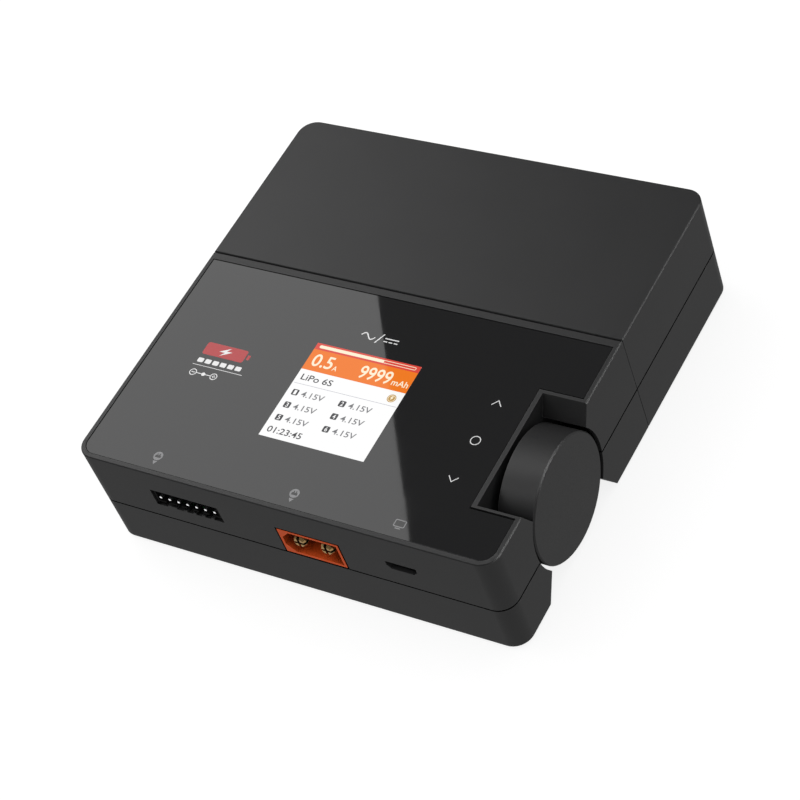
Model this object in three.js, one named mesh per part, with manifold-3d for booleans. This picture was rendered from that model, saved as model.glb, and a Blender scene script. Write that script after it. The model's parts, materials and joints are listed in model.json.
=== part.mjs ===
// Two-module balance battery charger for hobby battery packs.
// Front: a DC charger with a glass top panel, its ports on the front face, and a round rotary
// DC input holder in a bay in its right side. Rear: an AC power supply that docks behind it.
// Millimetres. +Z is up, the ports face -Y, +X is to the right. The origin is on the resting
// plane, under the middle of the two docked modules.

import * as THREE from 'three';
import { mergeVertices } from 'three/addons/utils/BufferGeometryUtils.js';
import Module from 'manifold-3d';

const wasm = await Module();
wasm.setup();

// ---- Driving dimensions -------------------------------------------------------------------

const FOOT_PROUD = 0.8; // how far the rubber feet stand below the case
const WIDTH = 110; // both modules
const DEPTH = 110; // both modules, docked
const HEIGHT = 30; // case only, without feet
const MODULE_SEAM_Y = 9; // where the two modules meet
const MODULE_GAP = 0.2;
const SHELL_SEAM_Z = 13.5; // where upper and lower shells meet
const SHELL_GAP = 0.5;
const CORNER_R = 4.5;
const TOP_CHAMFER = 0.25;
const WALL = 2;
const GAP = 0.3; // between pieces that rest on each other
const CURVE_STEPS = 5; // a quarter turn of a corner has twice this many facets

const LEFT = -WIDTH / 2;
const RIGHT = WIDTH / 2;
const FRONT = -DEPTH / 2;
const REAR = DEPTH / 2;
const DC_REAR = MODULE_SEAM_Y - MODULE_GAP / 2;
const AC_FRONT = MODULE_SEAM_Y + MODULE_GAP / 2;
const UPPER_BOTTOM = SHELL_SEAM_Z + SHELL_GAP / 2;
const LOWER_TOP = SHELL_SEAM_Z - SHELL_GAP / 2;
const PAST = 3; // how far a cutting tool runs past the face it opens

// Glass panel and what sits under it
const PLATE_BOTTOM = 27.2; // underside of the shell's top plate
const RECESS_FLOOR = 28.6;
const GLASS = { bottom: 28.9, top: 29.85, side: 1.45, front: 1.5, rear: 2.4, gap: 0.3 };
const GLASS_NOTCH = { x: 42.75, front: -16.8, rear: 17 }; // round the bay; y measured from the disc
const SCREEN = { x: -0.13, y: -23.7, width: 31.5, depth: 33.7, bottom: 26.2, top: 28.6 };
const RIBBON = { thickness: 0.3, reach: 4.5, bend: 1.5, halfWidth: 7 };
const KEYS = { x: 35.6, y: -25.2, width: 9, depth: 34, bottom: 25.8, top: 26.9 };

// Rotary input holder and its bay
const DISC = { x: 46, y: -25.1, z: 16.2, radius: 15, thickness: 8.9, chamfer: 0.35 };
const BAY = { inner: 44.2, radius: 15.85, wall: 1.6, neckTop: 8.8, neckBottom: -9.1 };
const BAY_TOP_HALF = 15.9; // half width of the bay's mouth at the top of the case
const BAY_BOTTOM_HALF = 17.3; // and at the bottom
const AXLE_R = 4;
const AXLE_BORE_R = 2.6;
const DISC_CUP_R = 13.6;
const DISC_FACETS = 56;
const DISC_FACE = 0.8;
const HUB_PLATE = 1.2;
const MOUTH = { half: 7.3, halfWidth: 3.15, wall: 1 }; // the disc's connector opening in its rim

// Two-pole power connectors: bullet contacts at a 7.2 mm pitch
const BULLET_R = 1.75;
const BULLET_PITCH = 7.2;
const OUTLET = {
  x: 6.2, bottom: 13.9, width: 16, height: 8.1, depth: 17, rim: 0.6, pocket: 11.5, gap: 0.45,
};
const OUTLET_CONTACT = { recess: 0.35, length: 17.65, slot: 6 };
const INPUT_CONTACT = { base: -10.5, length: 18, slot: 6 };
const TUBE = { inner: 1.8, outer: 2.1, length: 26.4, recess: 2.2 };
const PLUG = { x: 50.65, z: DISC.z, width: 6, height: 13.6, tip: -9.7 };

// Balance socket and micro-USB socket
const BALANCE = { x: -26.73, z: 20.7, width: 18.8, height: 5.4, depth: 8, pins: 7, pitch: 2.5 };
const BALANCE_PIN = { half: 0.32, tip: 0.26, length: 10.6, taper: 0.3, recess: 0.3 };
const TEETH = { height: 0.5, width: 0.8, x: [-28, -25.5, -23, -20.5] }; // along the opening's lower edge
const WIDE_TOOTH = { x: -31.75, width: 2.4 };
const USB = { x: 30.05, z: 20.2, width: 7.5, height: 2.2, depth: 5.6, gap: 0.15, recess: 1.2 };

// Boards
const BOARD_T = 1.6;
const BOARD_CORNER_R = 3;
const MAIN_BOARD_Z = 15.7;
const AC_BOARD_Z = 4;

// Screws and their bosses
const BOSS_R = 3.2;
const SCREW = {
  shankR: 1.2, headR: 2.3, headH: 1.8, head: 0.7, tip: 21, slot: 2.6, slotWidth: 0.6, slotDepth: 0.9,
};
const DC_SCREWS = [[-48.5, -48.5], [48, -48.5], [-48.5, 2.5], [40, 2.5]];
const AC_SCREWS = [[-48.5, 15.8], [40, 15.8], [-48.5, 48.5], [48.5, 48.5]];

// Fan
const FAN = {
  x: -26, y: -24, z: 2.3, size: 40, height: 7, hole: 16, bore: 18.3, seat: 9,
  rotor: 17.6, hub: 9.5, blades: 7,
};
const FAN_SPOKE = 0.9;
const FAN_AXLE_R = 1;

// Mains inlet in the rear face: two round pins in a figure-eight pocket
const INLET = { x: -28, z: 14, width: 24, height: 15, depth: 18, pocketR: 5, pitch: 8.6, pocket: 13 };
const INLET_PIN = { radius: 1.2, length: 15.2, recess: 3.8 };

// Vents
const VENT_W = 1.8;
const FAN_VENT = { pitch: 4.2, width: 2, reach: 16.5 };
const SIDE_VENT = { count: 8, first: -40, pitch: 4.6, bottom: 3.6, top: 11.4 };
const REAR_VENT = { count: 9, first: 4, pitch: 4.4, lower: [4, 11], upper: [17, 25] };

// Tabs on the power supply that enter slots in the charger
const TAB = { width: 12, reach: 3.5, bottom: 5, top: 8, x: [-8, 26] };

// Rubber feet: four strips
const FOOT = { width: 70, depth: 5, pocket: 0.7 };
const DC_FEET = { x: -4, front: -49.4, rear: 4.2 };
const AC_FEET = { x: -4, front: 15.2, rear: 49.4 };

// Parts on the main board, which hang below it
const HEAT_SINK = { x: [-2, 37.5], y: [-36.5, -19], bottom: 3.2, base: 2.4, fins: 9, fin: 1.5 };
const INDUCTOR = { size: 14, height: 9.4, corner: 2, places: [[6, -11], [24, -11]] };
const CAPACITOR = { x: -34, y: 2, radius: 4, length: 12 };

// Parts on the power supply's board
const TRANSFORMER = { x: 8, y: 38, width: 28, depth: 12, height: 18 };
const MAINS_CAPACITOR = { x: -12, y: 20, radius: 7.2, length: 25 };
const CHOKE = { x: -38, y: 23, radius: 9, bore: 4, height: 10 };
const AC_HEAT_SINK = { x: 34, y: 36, width: 14, depth: 11, height: 17, base: 3 };

// ---- Materials ----------------------------------------------------------------------------

const finish = (color, roughness, metalness = 0) => ({ color, roughness, metalness });
const CASE = finish(0x3a3a3b, 0.55);
const GLASS_BLACK = finish(0x1b1b1c, 0.08);
const SCREEN_WHITE = finish(0xf2f2f2, 0.3);
const BLACK = finish(0x141414, 0.6);
const ORANGE = finish(0xd2501c, 0.45);
const GOLD = finish(0xd9b36a, 0.25, 1);
const STEEL = finish(0xb9bcc0, 0.35, 1);
const TIN = finish(0xd8dadd, 0.3, 1);
const ALUMINIUM = finish(0xa9adb2, 0.4, 1);
const BOARD_GREEN = finish(0x14532d, 0.5);
const RUBBER = finish(0x202020, 0.9);
const FERRITE = finish(0x3b3f45, 0.7);
const TAPE = finish(0xd9b23c, 0.4);
const CAN = finish(0x1d2b52, 0.35);
const AMBER = finish(0xb8792b, 0.4);

// ---- Solids and cutting -------------------------------------------------------------------

function solid(geometry) {
  geometry.deleteAttribute('normal');
  geometry.deleteAttribute('uv');
  const merged = mergeVertices(geometry, 1e-4);
  const mesh = new wasm.Mesh({
    numProp: 3,
    vertProperties: new Float32Array(merged.attributes.position.array),
    triVerts: new Uint32Array(merged.index.array),
  });
  return new wasm.Manifold(mesh);
}

function geometryOf(body) {
  const mesh = body.getMesh();
  const geometry = new THREE.BufferGeometry();
  geometry.setAttribute('position', new THREE.BufferAttribute(new Float32Array(mesh.vertProperties), 3));
  geometry.setIndex(new THREE.BufferAttribute(new Uint32Array(mesh.triVerts), 1));
  geometry.computeVertexNormals();
  return geometry;
}

const join = (first, ...others) => others.reduce((sum, other) => sum.add(other), first);
const cut = (first, ...tools) => tools.reduce((rest, tool) => rest.subtract(tool), first);

function box(x0, x1, y0, y1, z0, z1) {
  const geometry = new THREE.BoxGeometry(x1 - x0, y1 - y0, z1 - z0);
  return solid(geometry.translate((x0 + x1) / 2, (y0 + y1) / 2, (z0 + z1) / 2));
}

// A box given by its middle in x and y and by its two heights
function block(x, y, width, depth, z0, z1) {
  return box(x - width / 2, x + width / 2, y - depth / 2, y + depth / 2, z0, z1);
}

const AXES = {
  // Where a drawing's own right, up and outward directions point in the model
  z: new THREE.Matrix4(),
  x: new THREE.Matrix4().makeBasis(
    new THREE.Vector3(0, 1, 0), new THREE.Vector3(0, 0, 1), new THREE.Vector3(1, 0, 0)),
  y: new THREE.Matrix4().makeBasis(
    new THREE.Vector3(-1, 0, 0), new THREE.Vector3(0, 0, 1), new THREE.Vector3(0, 1, 0)),
  '-y': new THREE.Matrix4().makeBasis(
    new THREE.Vector3(1, 0, 0), new THREE.Vector3(0, 0, 1), new THREE.Vector3(0, -1, 0)),
};

// A flat drawing pushed along an axis, from one position on it to another.
// Along x the drawing is read as (y, z), along y as (-x, z), along -y as (x, z), along z as (x, y).
function push(shape, axis, from, to, steps = CURVE_STEPS) {
  const options = { depth: to - from, bevelEnabled: false, curveSegments: steps };
  const geometry = new THREE.ExtrudeGeometry(shape, options);
  return solid(geometry.translate(0, 0, from).applyMatrix4(AXES[axis]));
}

function circle(x, y, radius) {
  return new THREE.Shape().absarc(x, y, radius, 0, 2 * Math.PI, false);
}

function rod(axis, u, v, radius, from, to, steps = 2 * CURVE_STEPS) {
  return push(circle(u, v, radius), axis, from, to, steps);
}

// Half outlines turned about the z axis, then laid along the axis asked for
function turned(points, axis = 'z', facets = 4 * CURVE_STEPS) {
  const outline = points.map(([r, h]) => new THREE.Vector2(r, h));
  const geometry = new THREE.LatheGeometry(outline, facets);
  return solid(geometry.rotateX(Math.PI / 2).applyMatrix4(AXES[axis]));
}

// Rectangle whose four corner radii run front-left, front-right, rear-right, rear-left
function rectangle(x0, x1, y0, y1, radii = [0, 0, 0, 0]) {
  const [fl, fr, rr, rl] = radii;
  const shape = new THREE.Shape();
  shape.moveTo(x0 + fl, y0);
  shape.lineTo(x1 - fr, y0);
  if (fr) shape.absarc(x1 - fr, y0 + fr, fr, -Math.PI / 2, 0, false);
  shape.lineTo(x1, y1 - rr);
  if (rr) shape.absarc(x1 - rr, y1 - rr, rr, 0, Math.PI / 2, false);
  shape.lineTo(x0 + rl, y1);
  if (rl) shape.absarc(x0 + rl, y1 - rl, rl, Math.PI / 2, Math.PI, false);
  shape.lineTo(x0, y0 + fl);
  if (fl) shape.absarc(x0 + fl, y0 + fl, fl, Math.PI, 1.5 * Math.PI, false);
  return shape;
}

function polygon(points) {
  return new THREE.Shape(points.map(([x, y]) => new THREE.Vector2(x, y)));
}

// ---- The scene ----------------------------------------------------------------------------

const charger = new THREE.Group();
charger.position.z = FOOT_PROUD;

function group(parent, x, y, z) {
  const child = new THREE.Group();
  child.position.set(x, y, z);
  parent.add(child);
  return child;
}

const dcModule = group(charger, 0, 0, 0);
const inputDisc = group(dcModule, DISC.x, DISC.y, DISC.z);
const fan = group(dcModule, FAN.x, FAN.y, FAN.z);
const acModule = group(charger, 0, 0, 0);

function add(parent, name, body, look, position = [0, 0, 0]) {
  const mesh = new THREE.Mesh(geometryOf(body), new THREE.MeshStandardMaterial(look));
  mesh.name = name;
  mesh.position.set(...position);
  parent.add(mesh);
}

// ---- Case outlines ------------------------------------------------------------------------

const dcOutline = (inset) => {
  const r = CORNER_R - inset;
  return rectangle(LEFT + inset, RIGHT - inset, FRONT + inset, DC_REAR - inset, [r, r, 0, 0]);
};

const acOutline = (inset) => {
  const r = CORNER_R - inset;
  return rectangle(LEFT + inset, RIGHT - inset, AC_FRONT + inset, REAR - inset, [0, 0, r, r]);
};

// Full-height case with a small chamfer along its top and bottom edges
function caseBlock(outline) {
  const options = {
    depth: HEIGHT - 2 * TOP_CHAMFER,
    bevelThickness: TOP_CHAMFER,
    bevelSize: TOP_CHAMFER,
    bevelOffset: -TOP_CHAMFER,
    bevelSegments: 1,
    curveSegments: CURVE_STEPS,
  };
  return solid(new THREE.ExtrudeGeometry(outline(0), options).translate(0, 0, TOP_CHAMFER));
}

const everything = (z0, z1) => box(LEFT - PAST, RIGHT + PAST, FRONT - PAST, REAR + PAST, z0, z1);
const belowSeam = everything(-PAST, UPPER_BOTTOM);
const aboveSeam = everything(LOWER_TOP, HEIGHT + PAST);

// ---- Bay for the rotary holder ------------------------------------------------------------

// Hourglass seen from the right: arcs beside the disc, widening to the mouths above and below
function bayOutline(offset) {
  const r = BAY.radius + offset;
  const neckTop = Math.asin(BAY.neckTop / r);
  const neckBottom = Math.asin(BAY.neckBottom / r);
  const top = HEIGHT - DISC.z;
  const topHalf = BAY_TOP_HALF + offset;
  const bottomHalf = BAY_BOTTOM_HALF + offset;
  const topSlope = (topHalf - r * Math.cos(neckTop)) / (top - BAY.neckTop);
  const bottomSlope = (bottomHalf - r * Math.cos(neckBottom)) / (DISC.z + BAY.neckBottom);
  const shape = new THREE.Shape();
  shape.moveTo(DISC.y - bottomHalf - bottomSlope * PAST, -PAST);
  shape.lineTo(DISC.y + bottomHalf + bottomSlope * PAST, -PAST);
  shape.absarc(DISC.y, DISC.z, r, neckBottom, neckTop, false);
  shape.lineTo(DISC.y + topHalf + topSlope * PAST, HEIGHT + PAST);
  shape.lineTo(DISC.y - topHalf - topSlope * PAST, HEIGHT + PAST);
  shape.absarc(DISC.y, DISC.z, r, Math.PI - neckTop, Math.PI - neckBottom, false);
  return shape;
}

const bayCut = push(bayOutline(0), 'x', BAY.inner, RIGHT + PAST);
const bayLining = push(bayOutline(BAY.wall), 'x', BAY.inner - BAY.wall, RIGHT + PAST);
const axleHole = rod('x', DISC.y, DISC.z, AXLE_R + GAP, BAY.inner - BAY.wall - 1, BAY.inner + 1);

// ---- Openings shared by the shells --------------------------------------------------------

// Where the power supply's plug passes through to the rotary holder
const plugTunnel = box(
  PLUG.x - PLUG.width / 2 - 0.35, PLUG.x + PLUG.width / 2 + 0.35, DISC.y, AC_FRONT + WALL + PAST,
  PLUG.z - PLUG.height / 2 - 0.35, PLUG.z + PLUG.height / 2 + 0.35);

const tabSlots = TAB.x.map((x) => box(
  x - TAB.width / 2 - GAP, x + TAB.width / 2 + GAP, DC_REAR - WALL - 1, DC_REAR + 1,
  TAB.bottom - GAP, TAB.top + GAP));

// Outline of a chamfered two-pole connector, seen from the front: both corners of one end cut
function connectorOutline(x, z, width, height, bevel) {
  const [w, h] = [width / 2, height / 2];
  return polygon([
    [-(x - w + bevel), z - h], [-(x - w), z - h + bevel], [-(x - w), z + h - bevel],
    [-(x - w + bevel), z + h], [-(x + w), z + h], [-(x + w), z - h],
  ]);
}

const outletZ = OUTLET.bottom + OUTLET.height / 2;
const outletHalf = OUTLET.width / 2 + OUTLET.gap;
const outletOpening = box(
  OUTLET.x - outletHalf, OUTLET.x + outletHalf, FRONT - PAST, FRONT + WALL + 1,
  UPPER_BOTTOM - 1, OUTLET.bottom + OUTLET.height + OUTLET.gap);
const balanceBottom = BALANCE.z - BALANCE.height / 2;
const balanceTop = BALANCE.z + BALANCE.height / 2;
const balanceHole = box(
  BALANCE.x - BALANCE.width / 2, BALANCE.x + BALANCE.width / 2, FRONT - PAST, FRONT + WALL + 1,
  balanceBottom, balanceTop);

const tooth = (x, width) => box(
  x - width / 2, x + width / 2, FRONT - PAST - 1, FRONT + WALL + 2, balanceBottom - 1,
  balanceBottom + TEETH.height);
const balanceOpening = cut(
  balanceHole, ...TEETH.x.map((x) => tooth(x, TEETH.width)), tooth(WIDE_TOOTH.x, WIDE_TOOTH.width));

function usbOutline(grow) {
  const w = USB.width / 2 + grow;
  const h = USB.height / 2 + grow;
  const taper = 1.1;
  return polygon([
    [-USB.x - w + taper, USB.z - h], [-USB.x + w - taper, USB.z - h], [-USB.x + w, USB.z - h + taper],
    [-USB.x + w, USB.z + h], [-USB.x - w, USB.z + h], [-USB.x - w, USB.z - h + taper],
  ]);
}
const usbOpening = push(usbOutline(USB.gap), 'y', FRONT - PAST, FRONT + WALL + 1);

const inletOpening = box(
  INLET.x - INLET.width / 2 - GAP, INLET.x + INLET.width / 2 + GAP, REAR - WALL - 1, REAR + PAST,
  INLET.z - INLET.height / 2 - GAP, INLET.z + INLET.height / 2 + GAP);

// ---- Screw bosses -------------------------------------------------------------------------

const boss = ([x, y], z0, z1) => rod('z', x, y, BOSS_R, z0, z1, CURVE_STEPS);
const SCREW_HOLE_TOP = SCREW.tip + 1;
const HEAD_HOLE_TOP = SCREW.head + SCREW.headH + GAP;
const screwHole = ([x, y]) => rod('z', x, y, SCREW.shankR + GAP, -PAST, SCREW_HOLE_TOP, CURVE_STEPS);
const headHole = ([x, y]) => rod('z', x, y, SCREW.headR + GAP, -PAST, HEAD_HOLE_TOP, CURVE_STEPS);

function addScrews(parent, prefix, places) {
  places.forEach(([x, y], index) => {
    const screw = turned([
      [0, 0], [SCREW.headR, 0], [SCREW.headR, SCREW.headH],
      [SCREW.shankR, SCREW.headH], [SCREW.shankR, SCREW.tip - SCREW.shankR], [0, SCREW.tip],
    ], 'z', CURVE_STEPS * 2);
    const slot = block(0, 0, SCREW.slot, SCREW.slotWidth, -1, SCREW.slotDepth);
    const crossSlot = block(0, 0, SCREW.slotWidth, SCREW.slot, -1, SCREW.slotDepth);
    add(parent, `${prefix}_${index + 1}`, cut(screw, slot, crossSlot), STEEL, [x, y, SCREW.head]);
  });
}

// ---- Vents --------------------------------------------------------------------------------

// Straight slots under the fan, each as long as the round fan opening allows
function fanVents() {
  const { pitch, width, reach } = FAN_VENT;
  return [-3, -2, -1, 0, 1, 2, 3].map((row) => {
    const y = row * pitch;
    return block(FAN.x, FAN.y + y, 2 * Math.sqrt(reach * reach - y * y), width, -PAST, WALL + 1);
  });
}

// Upright slots through the left wall of the charger
const sideVents = Array.from({ length: SIDE_VENT.count }, (_, row) => {
  const y = SIDE_VENT.first + SIDE_VENT.pitch * row;
  return block(LEFT, y, 2 * (WALL + 1), VENT_W, SIDE_VENT.bottom, SIDE_VENT.top);
});

// Upright slots through the rear wall of the power supply, in both shells
const rearVents = ([bottom, top]) => Array.from({ length: REAR_VENT.count }, (_, row) => {
  const x = REAR_VENT.first + REAR_VENT.pitch * row;
  return block(x, REAR, VENT_W, 2 * (WALL + 1), bottom, top);
});

// ---- Charger shells -----------------------------------------------------------------------

const glassNotch = (gap) => box(
  GLASS_NOTCH.x + gap, RIGHT + PAST, DISC.y + GLASS_NOTCH.front + gap, DISC.y + GLASS_NOTCH.rear - gap,
  RECESS_FLOOR - 1, HEIGHT + PAST);

function glassBlank(gap, z0, z1) {
  const front = FRONT + GLASS.front - gap;
  const rear = MODULE_SEAM_Y - GLASS.rear + gap;
  const side = GLASS.side - gap;
  const r = CORNER_R - side;
  const outline = rectangle(LEFT + side, RIGHT - side, front, rear, [r, r, 0, 0]);
  return cut(push(outline, 'z', z0, z1), glassNotch(gap));
}

function dcUpperShell() {
  const outer = cut(caseBlock(dcOutline), belowSeam);
  const cavity = push(dcOutline(WALL), 'z', UPPER_BOTTOM - 1, PLATE_BOTTOM);
  const lining = bayLining.intersect(outer);
  const screenWindow = block(
    SCREEN.x, SCREEN.y, SCREEN.width + 2 * GAP, SCREEN.depth + 2 * GAP, PLATE_BOTTOM - 1,
    RECESS_FLOOR + 1);
  const bosses = DC_SCREWS.map((at) => boss(at, UPPER_BOTTOM, PLATE_BOTTOM));
  const hollow = join(cut(outer, cavity), lining, ...bosses);
  return cut(
    hollow, bayCut, axleHole, glassBlank(GLASS.gap, RECESS_FLOOR, HEIGHT + PAST), screenWindow,
    plugTunnel, outletOpening, balanceOpening, usbOpening, ...DC_SCREWS.map(screwHole));
}

function dcLowerShell() {
  const outer = cut(caseBlock(dcOutline), aboveSeam);
  const cavity = push(dcOutline(WALL), 'z', WALL, HEIGHT);
  const lining = bayLining.intersect(outer);
  const bosses = DC_SCREWS.map((at) => boss(at, 1, LOWER_TOP));
  const hollow = join(cut(outer, cavity), lining, ...bosses);
  return cut(
    hollow, bayCut, axleHole, plugTunnel, ...tabSlots, ...fanVents(), ...sideVents,
    ...DC_SCREWS.map(screwHole), ...DC_SCREWS.map(headHole), ...footPockets(DC_FEET));
}

// ---- Power supply shells ------------------------------------------------------------------

function acUpperShell() {
  const outer = cut(caseBlock(acOutline), belowSeam);
  const cavity = push(acOutline(WALL), 'z', UPPER_BOTTOM - 1, HEIGHT - WALL);
  const bosses = AC_SCREWS.map((at) => boss(at, UPPER_BOTTOM, HEIGHT - WALL));
  const vents = rearVents(REAR_VENT.upper);
  return cut(
    join(cut(outer, cavity), ...bosses), plugTunnel, inletOpening, ...vents, ...AC_SCREWS.map(screwHole));
}

function acLowerShell() {
  const outer = cut(caseBlock(acOutline), aboveSeam);
  const cavity = push(acOutline(WALL), 'z', WALL, HEIGHT);
  const tabTip = AC_FRONT - MODULE_GAP - TAB.reach;
  const tabs = TAB.x.map((x) => box(
    x - TAB.width / 2, x + TAB.width / 2, tabTip, AC_FRONT + 1, TAB.bottom, TAB.top));
  const bosses = AC_SCREWS.map((at) => boss(at, 1, LOWER_TOP));
  return cut(
    join(cut(outer, cavity), ...tabs, ...bosses), plugTunnel, inletOpening,
    ...rearVents(REAR_VENT.lower), ...AC_SCREWS.map(screwHole), ...AC_SCREWS.map(headHole),
    ...footPockets(AC_FEET));
}

// ---- Feet ---------------------------------------------------------------------------------

const footPockets = ({ x, front, rear }) => [front, rear].map((y) => block(
  x, y, FOOT.width + 2 * GAP, FOOT.depth + 2 * GAP, -PAST, FOOT.pocket));

function addFeet(parent, prefix, { x, front, rear }) {
  const [w, d] = [FOOT.width / 2, FOOT.depth / 2];
  const r = d - 0.1;
  const outline = rectangle(-w, w, -d, d, [r, r, r, r]);
  const pad = push(outline, 'z', -FOOT_PROUD, FOOT.pocket - GAP, CURVE_STEPS / 2);
  add(parent, `${prefix}_front`, pad, RUBBER, [x, front, 0]);
  add(parent, `${prefix}_rear`, pad, RUBBER, [x, rear, 0]);
}

// ---- Boards -------------------------------------------------------------------------------

const bossClearance = (places) => places.map(([x, y]) => rod(
  'z', x, y, BOSS_R + GAP, -PAST, HEIGHT, CURVE_STEPS));

function mainBoard() {
  const outline = rectangle(
    LEFT + WALL + 0.5, 38.4, FRONT + WALL + 0.4, DC_REAR - WALL - 0.4, [BOARD_CORNER_R, 0, 0, 0]);
  const board = push(outline, 'z', MAIN_BOARD_Z, MAIN_BOARD_Z + BOARD_T, CURVE_STEPS / 2);
  const outletNotch = block(
    OUTLET.x, FRONT, OUTLET.width + 0.8, 2 * (OUTLET.depth + 2), MAIN_BOARD_Z - PAST, MAIN_BOARD_Z + PAST);
  return cut(board, outletNotch, ...bossClearance(DC_SCREWS));
}

function acBoard() {
  const outline = rectangle(
    LEFT + WALL + 0.5, RIGHT - WALL - 0.5, AC_FRONT + WALL + 0.4, REAR - WALL - 0.5,
    [0, 0, BOARD_CORNER_R, BOARD_CORNER_R]);
  const board = push(outline, 'z', AC_BOARD_Z, AC_BOARD_Z + BOARD_T, CURVE_STEPS / 2);
  return cut(board, ...bossClearance(AC_SCREWS));
}

// ---- Charger ports ------------------------------------------------------------------------

function balanceSocket() {
  const { x, z, width, depth, pitch } = BALANCE;
  const [bottom, top] = [balanceBottom + TEETH.height + GAP, balanceTop - GAP];
  const front = FRONT + 0.4;
  const rear = front + depth;
  const w = width / 2 - GAP;
  const body = box(x - w, x + w, front, rear, bottom, top);
  const pocket = box(x - w + 0.6, x + w - 0.6, front - 1, rear - 1.4, bottom + 0.5, top - 0.5);
  const keyways = [-2, -1, 0, 1, 2].map((step) => block(
    x + step * pitch * 1.2, front, 1.3, 3.2, bottom - 1, bottom + 1));
  const hole = 2 * BALANCE_PIN.half + 2 * GAP;
  const pinHoles = pinPlaces().map((px) => block(
    px, rear, hole, 2 * depth, z - hole / 2, z + hole / 2));
  return cut(body, pocket, ...keyways, ...pinHoles);
}

function pinPlaces() {
  const { x, pins, pitch } = BALANCE;
  return Array.from({ length: pins }, (_, i) => x + (i - (pins - 1) / 2) * pitch);
}

// Square pins that start behind the socket and point to the front
function addBalancePins() {
  const { half, tip, length, taper, recess } = BALANCE_PIN;
  const outline = polygon([
    [0, -half], [0, half], [taper - length, half], [-length, tip],
    [-length, -tip], [taper - length, -half],
  ]);
  const pin = push(outline, 'x', -half, half);
  pinPlaces().forEach((px, i) => {
    add(dcModule, `balance_pin_${i + 1}`, pin, TIN, [px, FRONT + recess + length, BALANCE.z]);
  });
}

// Two-pole socket: a shroud with a chamfered end and holes for two bullet contacts
function outletSocket() {
  const { x, width, height, depth, rim, pocket } = OUTLET;
  const [w, h] = [width / 2, height / 2];
  const body = push(rectangle(-x - w, -x + w, outletZ - h, outletZ + h), 'y', FRONT, FRONT + depth);
  const mouth = connectorOutline(x, outletZ, width - 2 * rim, height - 2 * rim, 2.2);
  const holes = [-1, 1].map((side) => rod(
    'y', -x - side * BULLET_PITCH / 2, outletZ, BULLET_R + GAP, FRONT, FRONT + depth + 1));
  return cut(body, push(mouth, 'y', FRONT - 1, FRONT + pocket), ...holes);
}

// A split bullet contact that starts at its own origin and points along the axis asked for
function bullet(axis, length, slotLength) {
  const body = turned([
    [0, 0], [BULLET_R, 0], [BULLET_R, length - 0.6], [BULLET_R - 0.45, length], [0, length],
  ], axis, 3 * CURVE_STEPS);
  const across = [rectangle(-0.35, 0.35, -3, 3), rectangle(-3, 3, -0.35, 0.35)];
  const slots = across.map((slot) => push(slot, axis, length - slotLength, length + 1));
  const core = rod(axis, 0, 0, 0.7, 1, length - slotLength + 0.5, CURVE_STEPS);
  return join(cut(body, ...slots), core);
}

function addOutletContacts() {
  const { recess, length, slot } = OUTLET_CONTACT;
  const contact = bullet('-y', length, slot);
  const y = FRONT + recess + length;
  add(dcModule, 'output_contact_positive', contact, GOLD, [OUTLET.x - BULLET_PITCH / 2, y, outletZ]);
  add(dcModule, 'output_contact_negative', contact, GOLD, [OUTLET.x + BULLET_PITCH / 2, y, outletZ]);
}

function usbShell() {
  const front = FRONT + USB.recess;
  const outer = push(usbOutline(0), 'y', front, front + USB.depth);
  const inner = push(usbOutline(-GAP), 'y', FRONT, front + USB.depth - GAP);
  return cut(outer, inner);
}

const usbTongue = () => block(USB.x, FRONT + 4, USB.width - 3.6, 3.6, USB.z - 0.1, USB.z + 0.4);

// ---- Charger internals --------------------------------------------------------------------

// Finned heat sink hanging under the main board
function heatSink() {
  const { x: [x0, x1], y: [y0, y1], bottom, base, fins, fin } = HEAT_SINK;
  const top = MAIN_BOARD_Z - GAP;
  const pitch = (x1 - x0 - fin) / (fins - 1);
  const blades = Array.from({ length: fins }, (_, i) => box(
    x0 + i * pitch, x0 + i * pitch + fin, y0, y1, bottom, top - base + 0.2));
  return join(box(x0, x1, y0, y1, top - base, top), ...blades);
}

// Round-cornered power inductor under the main board
function inductor() {
  const { size, height, corner: r } = INDUCTOR;
  const outline = rectangle(-size / 2, size / 2, -size / 2, size / 2, [r, r, r, r]);
  return push(outline, 'z', -height, 0, CURVE_STEPS / 2);
}

// Aluminium can with its pressed ring near the base, hanging under the board
function capacitor() {
  const { radius, length } = CAPACITOR;
  return turned([
    [0, -length], [radius - 0.4, -length], [radius, -length + 0.4], [radius, -2.4],
    [radius - 0.5, -2], [radius, -1.6], [radius, 0], [0, 0],
  ], 'z', 3 * CURVE_STEPS);
}

// Flat ribbon from the screen's rear edge down to the main board
function screenRibbon() {
  const { thickness: t, reach, bend, halfWidth } = RIBBON;
  const top = SCREEN.bottom + 0.4;
  const foot = MAIN_BOARD_Z + BOARD_T + GAP;
  const outline = new THREE.Shape();
  outline.moveTo(0, top);
  outline.absarc(reach - bend, top - bend, bend, Math.PI / 2, 0, true);
  outline.lineTo(reach, foot);
  outline.lineTo(reach - t, foot);
  outline.absarc(reach - bend, top - bend, bend - t, 0, Math.PI / 2, false);
  outline.lineTo(0, top - t);
  return push(outline, 'x', -halfWidth, halfWidth, CURVE_STEPS / 2);
}

// ---- Fan ----------------------------------------------------------------------------------

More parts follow.
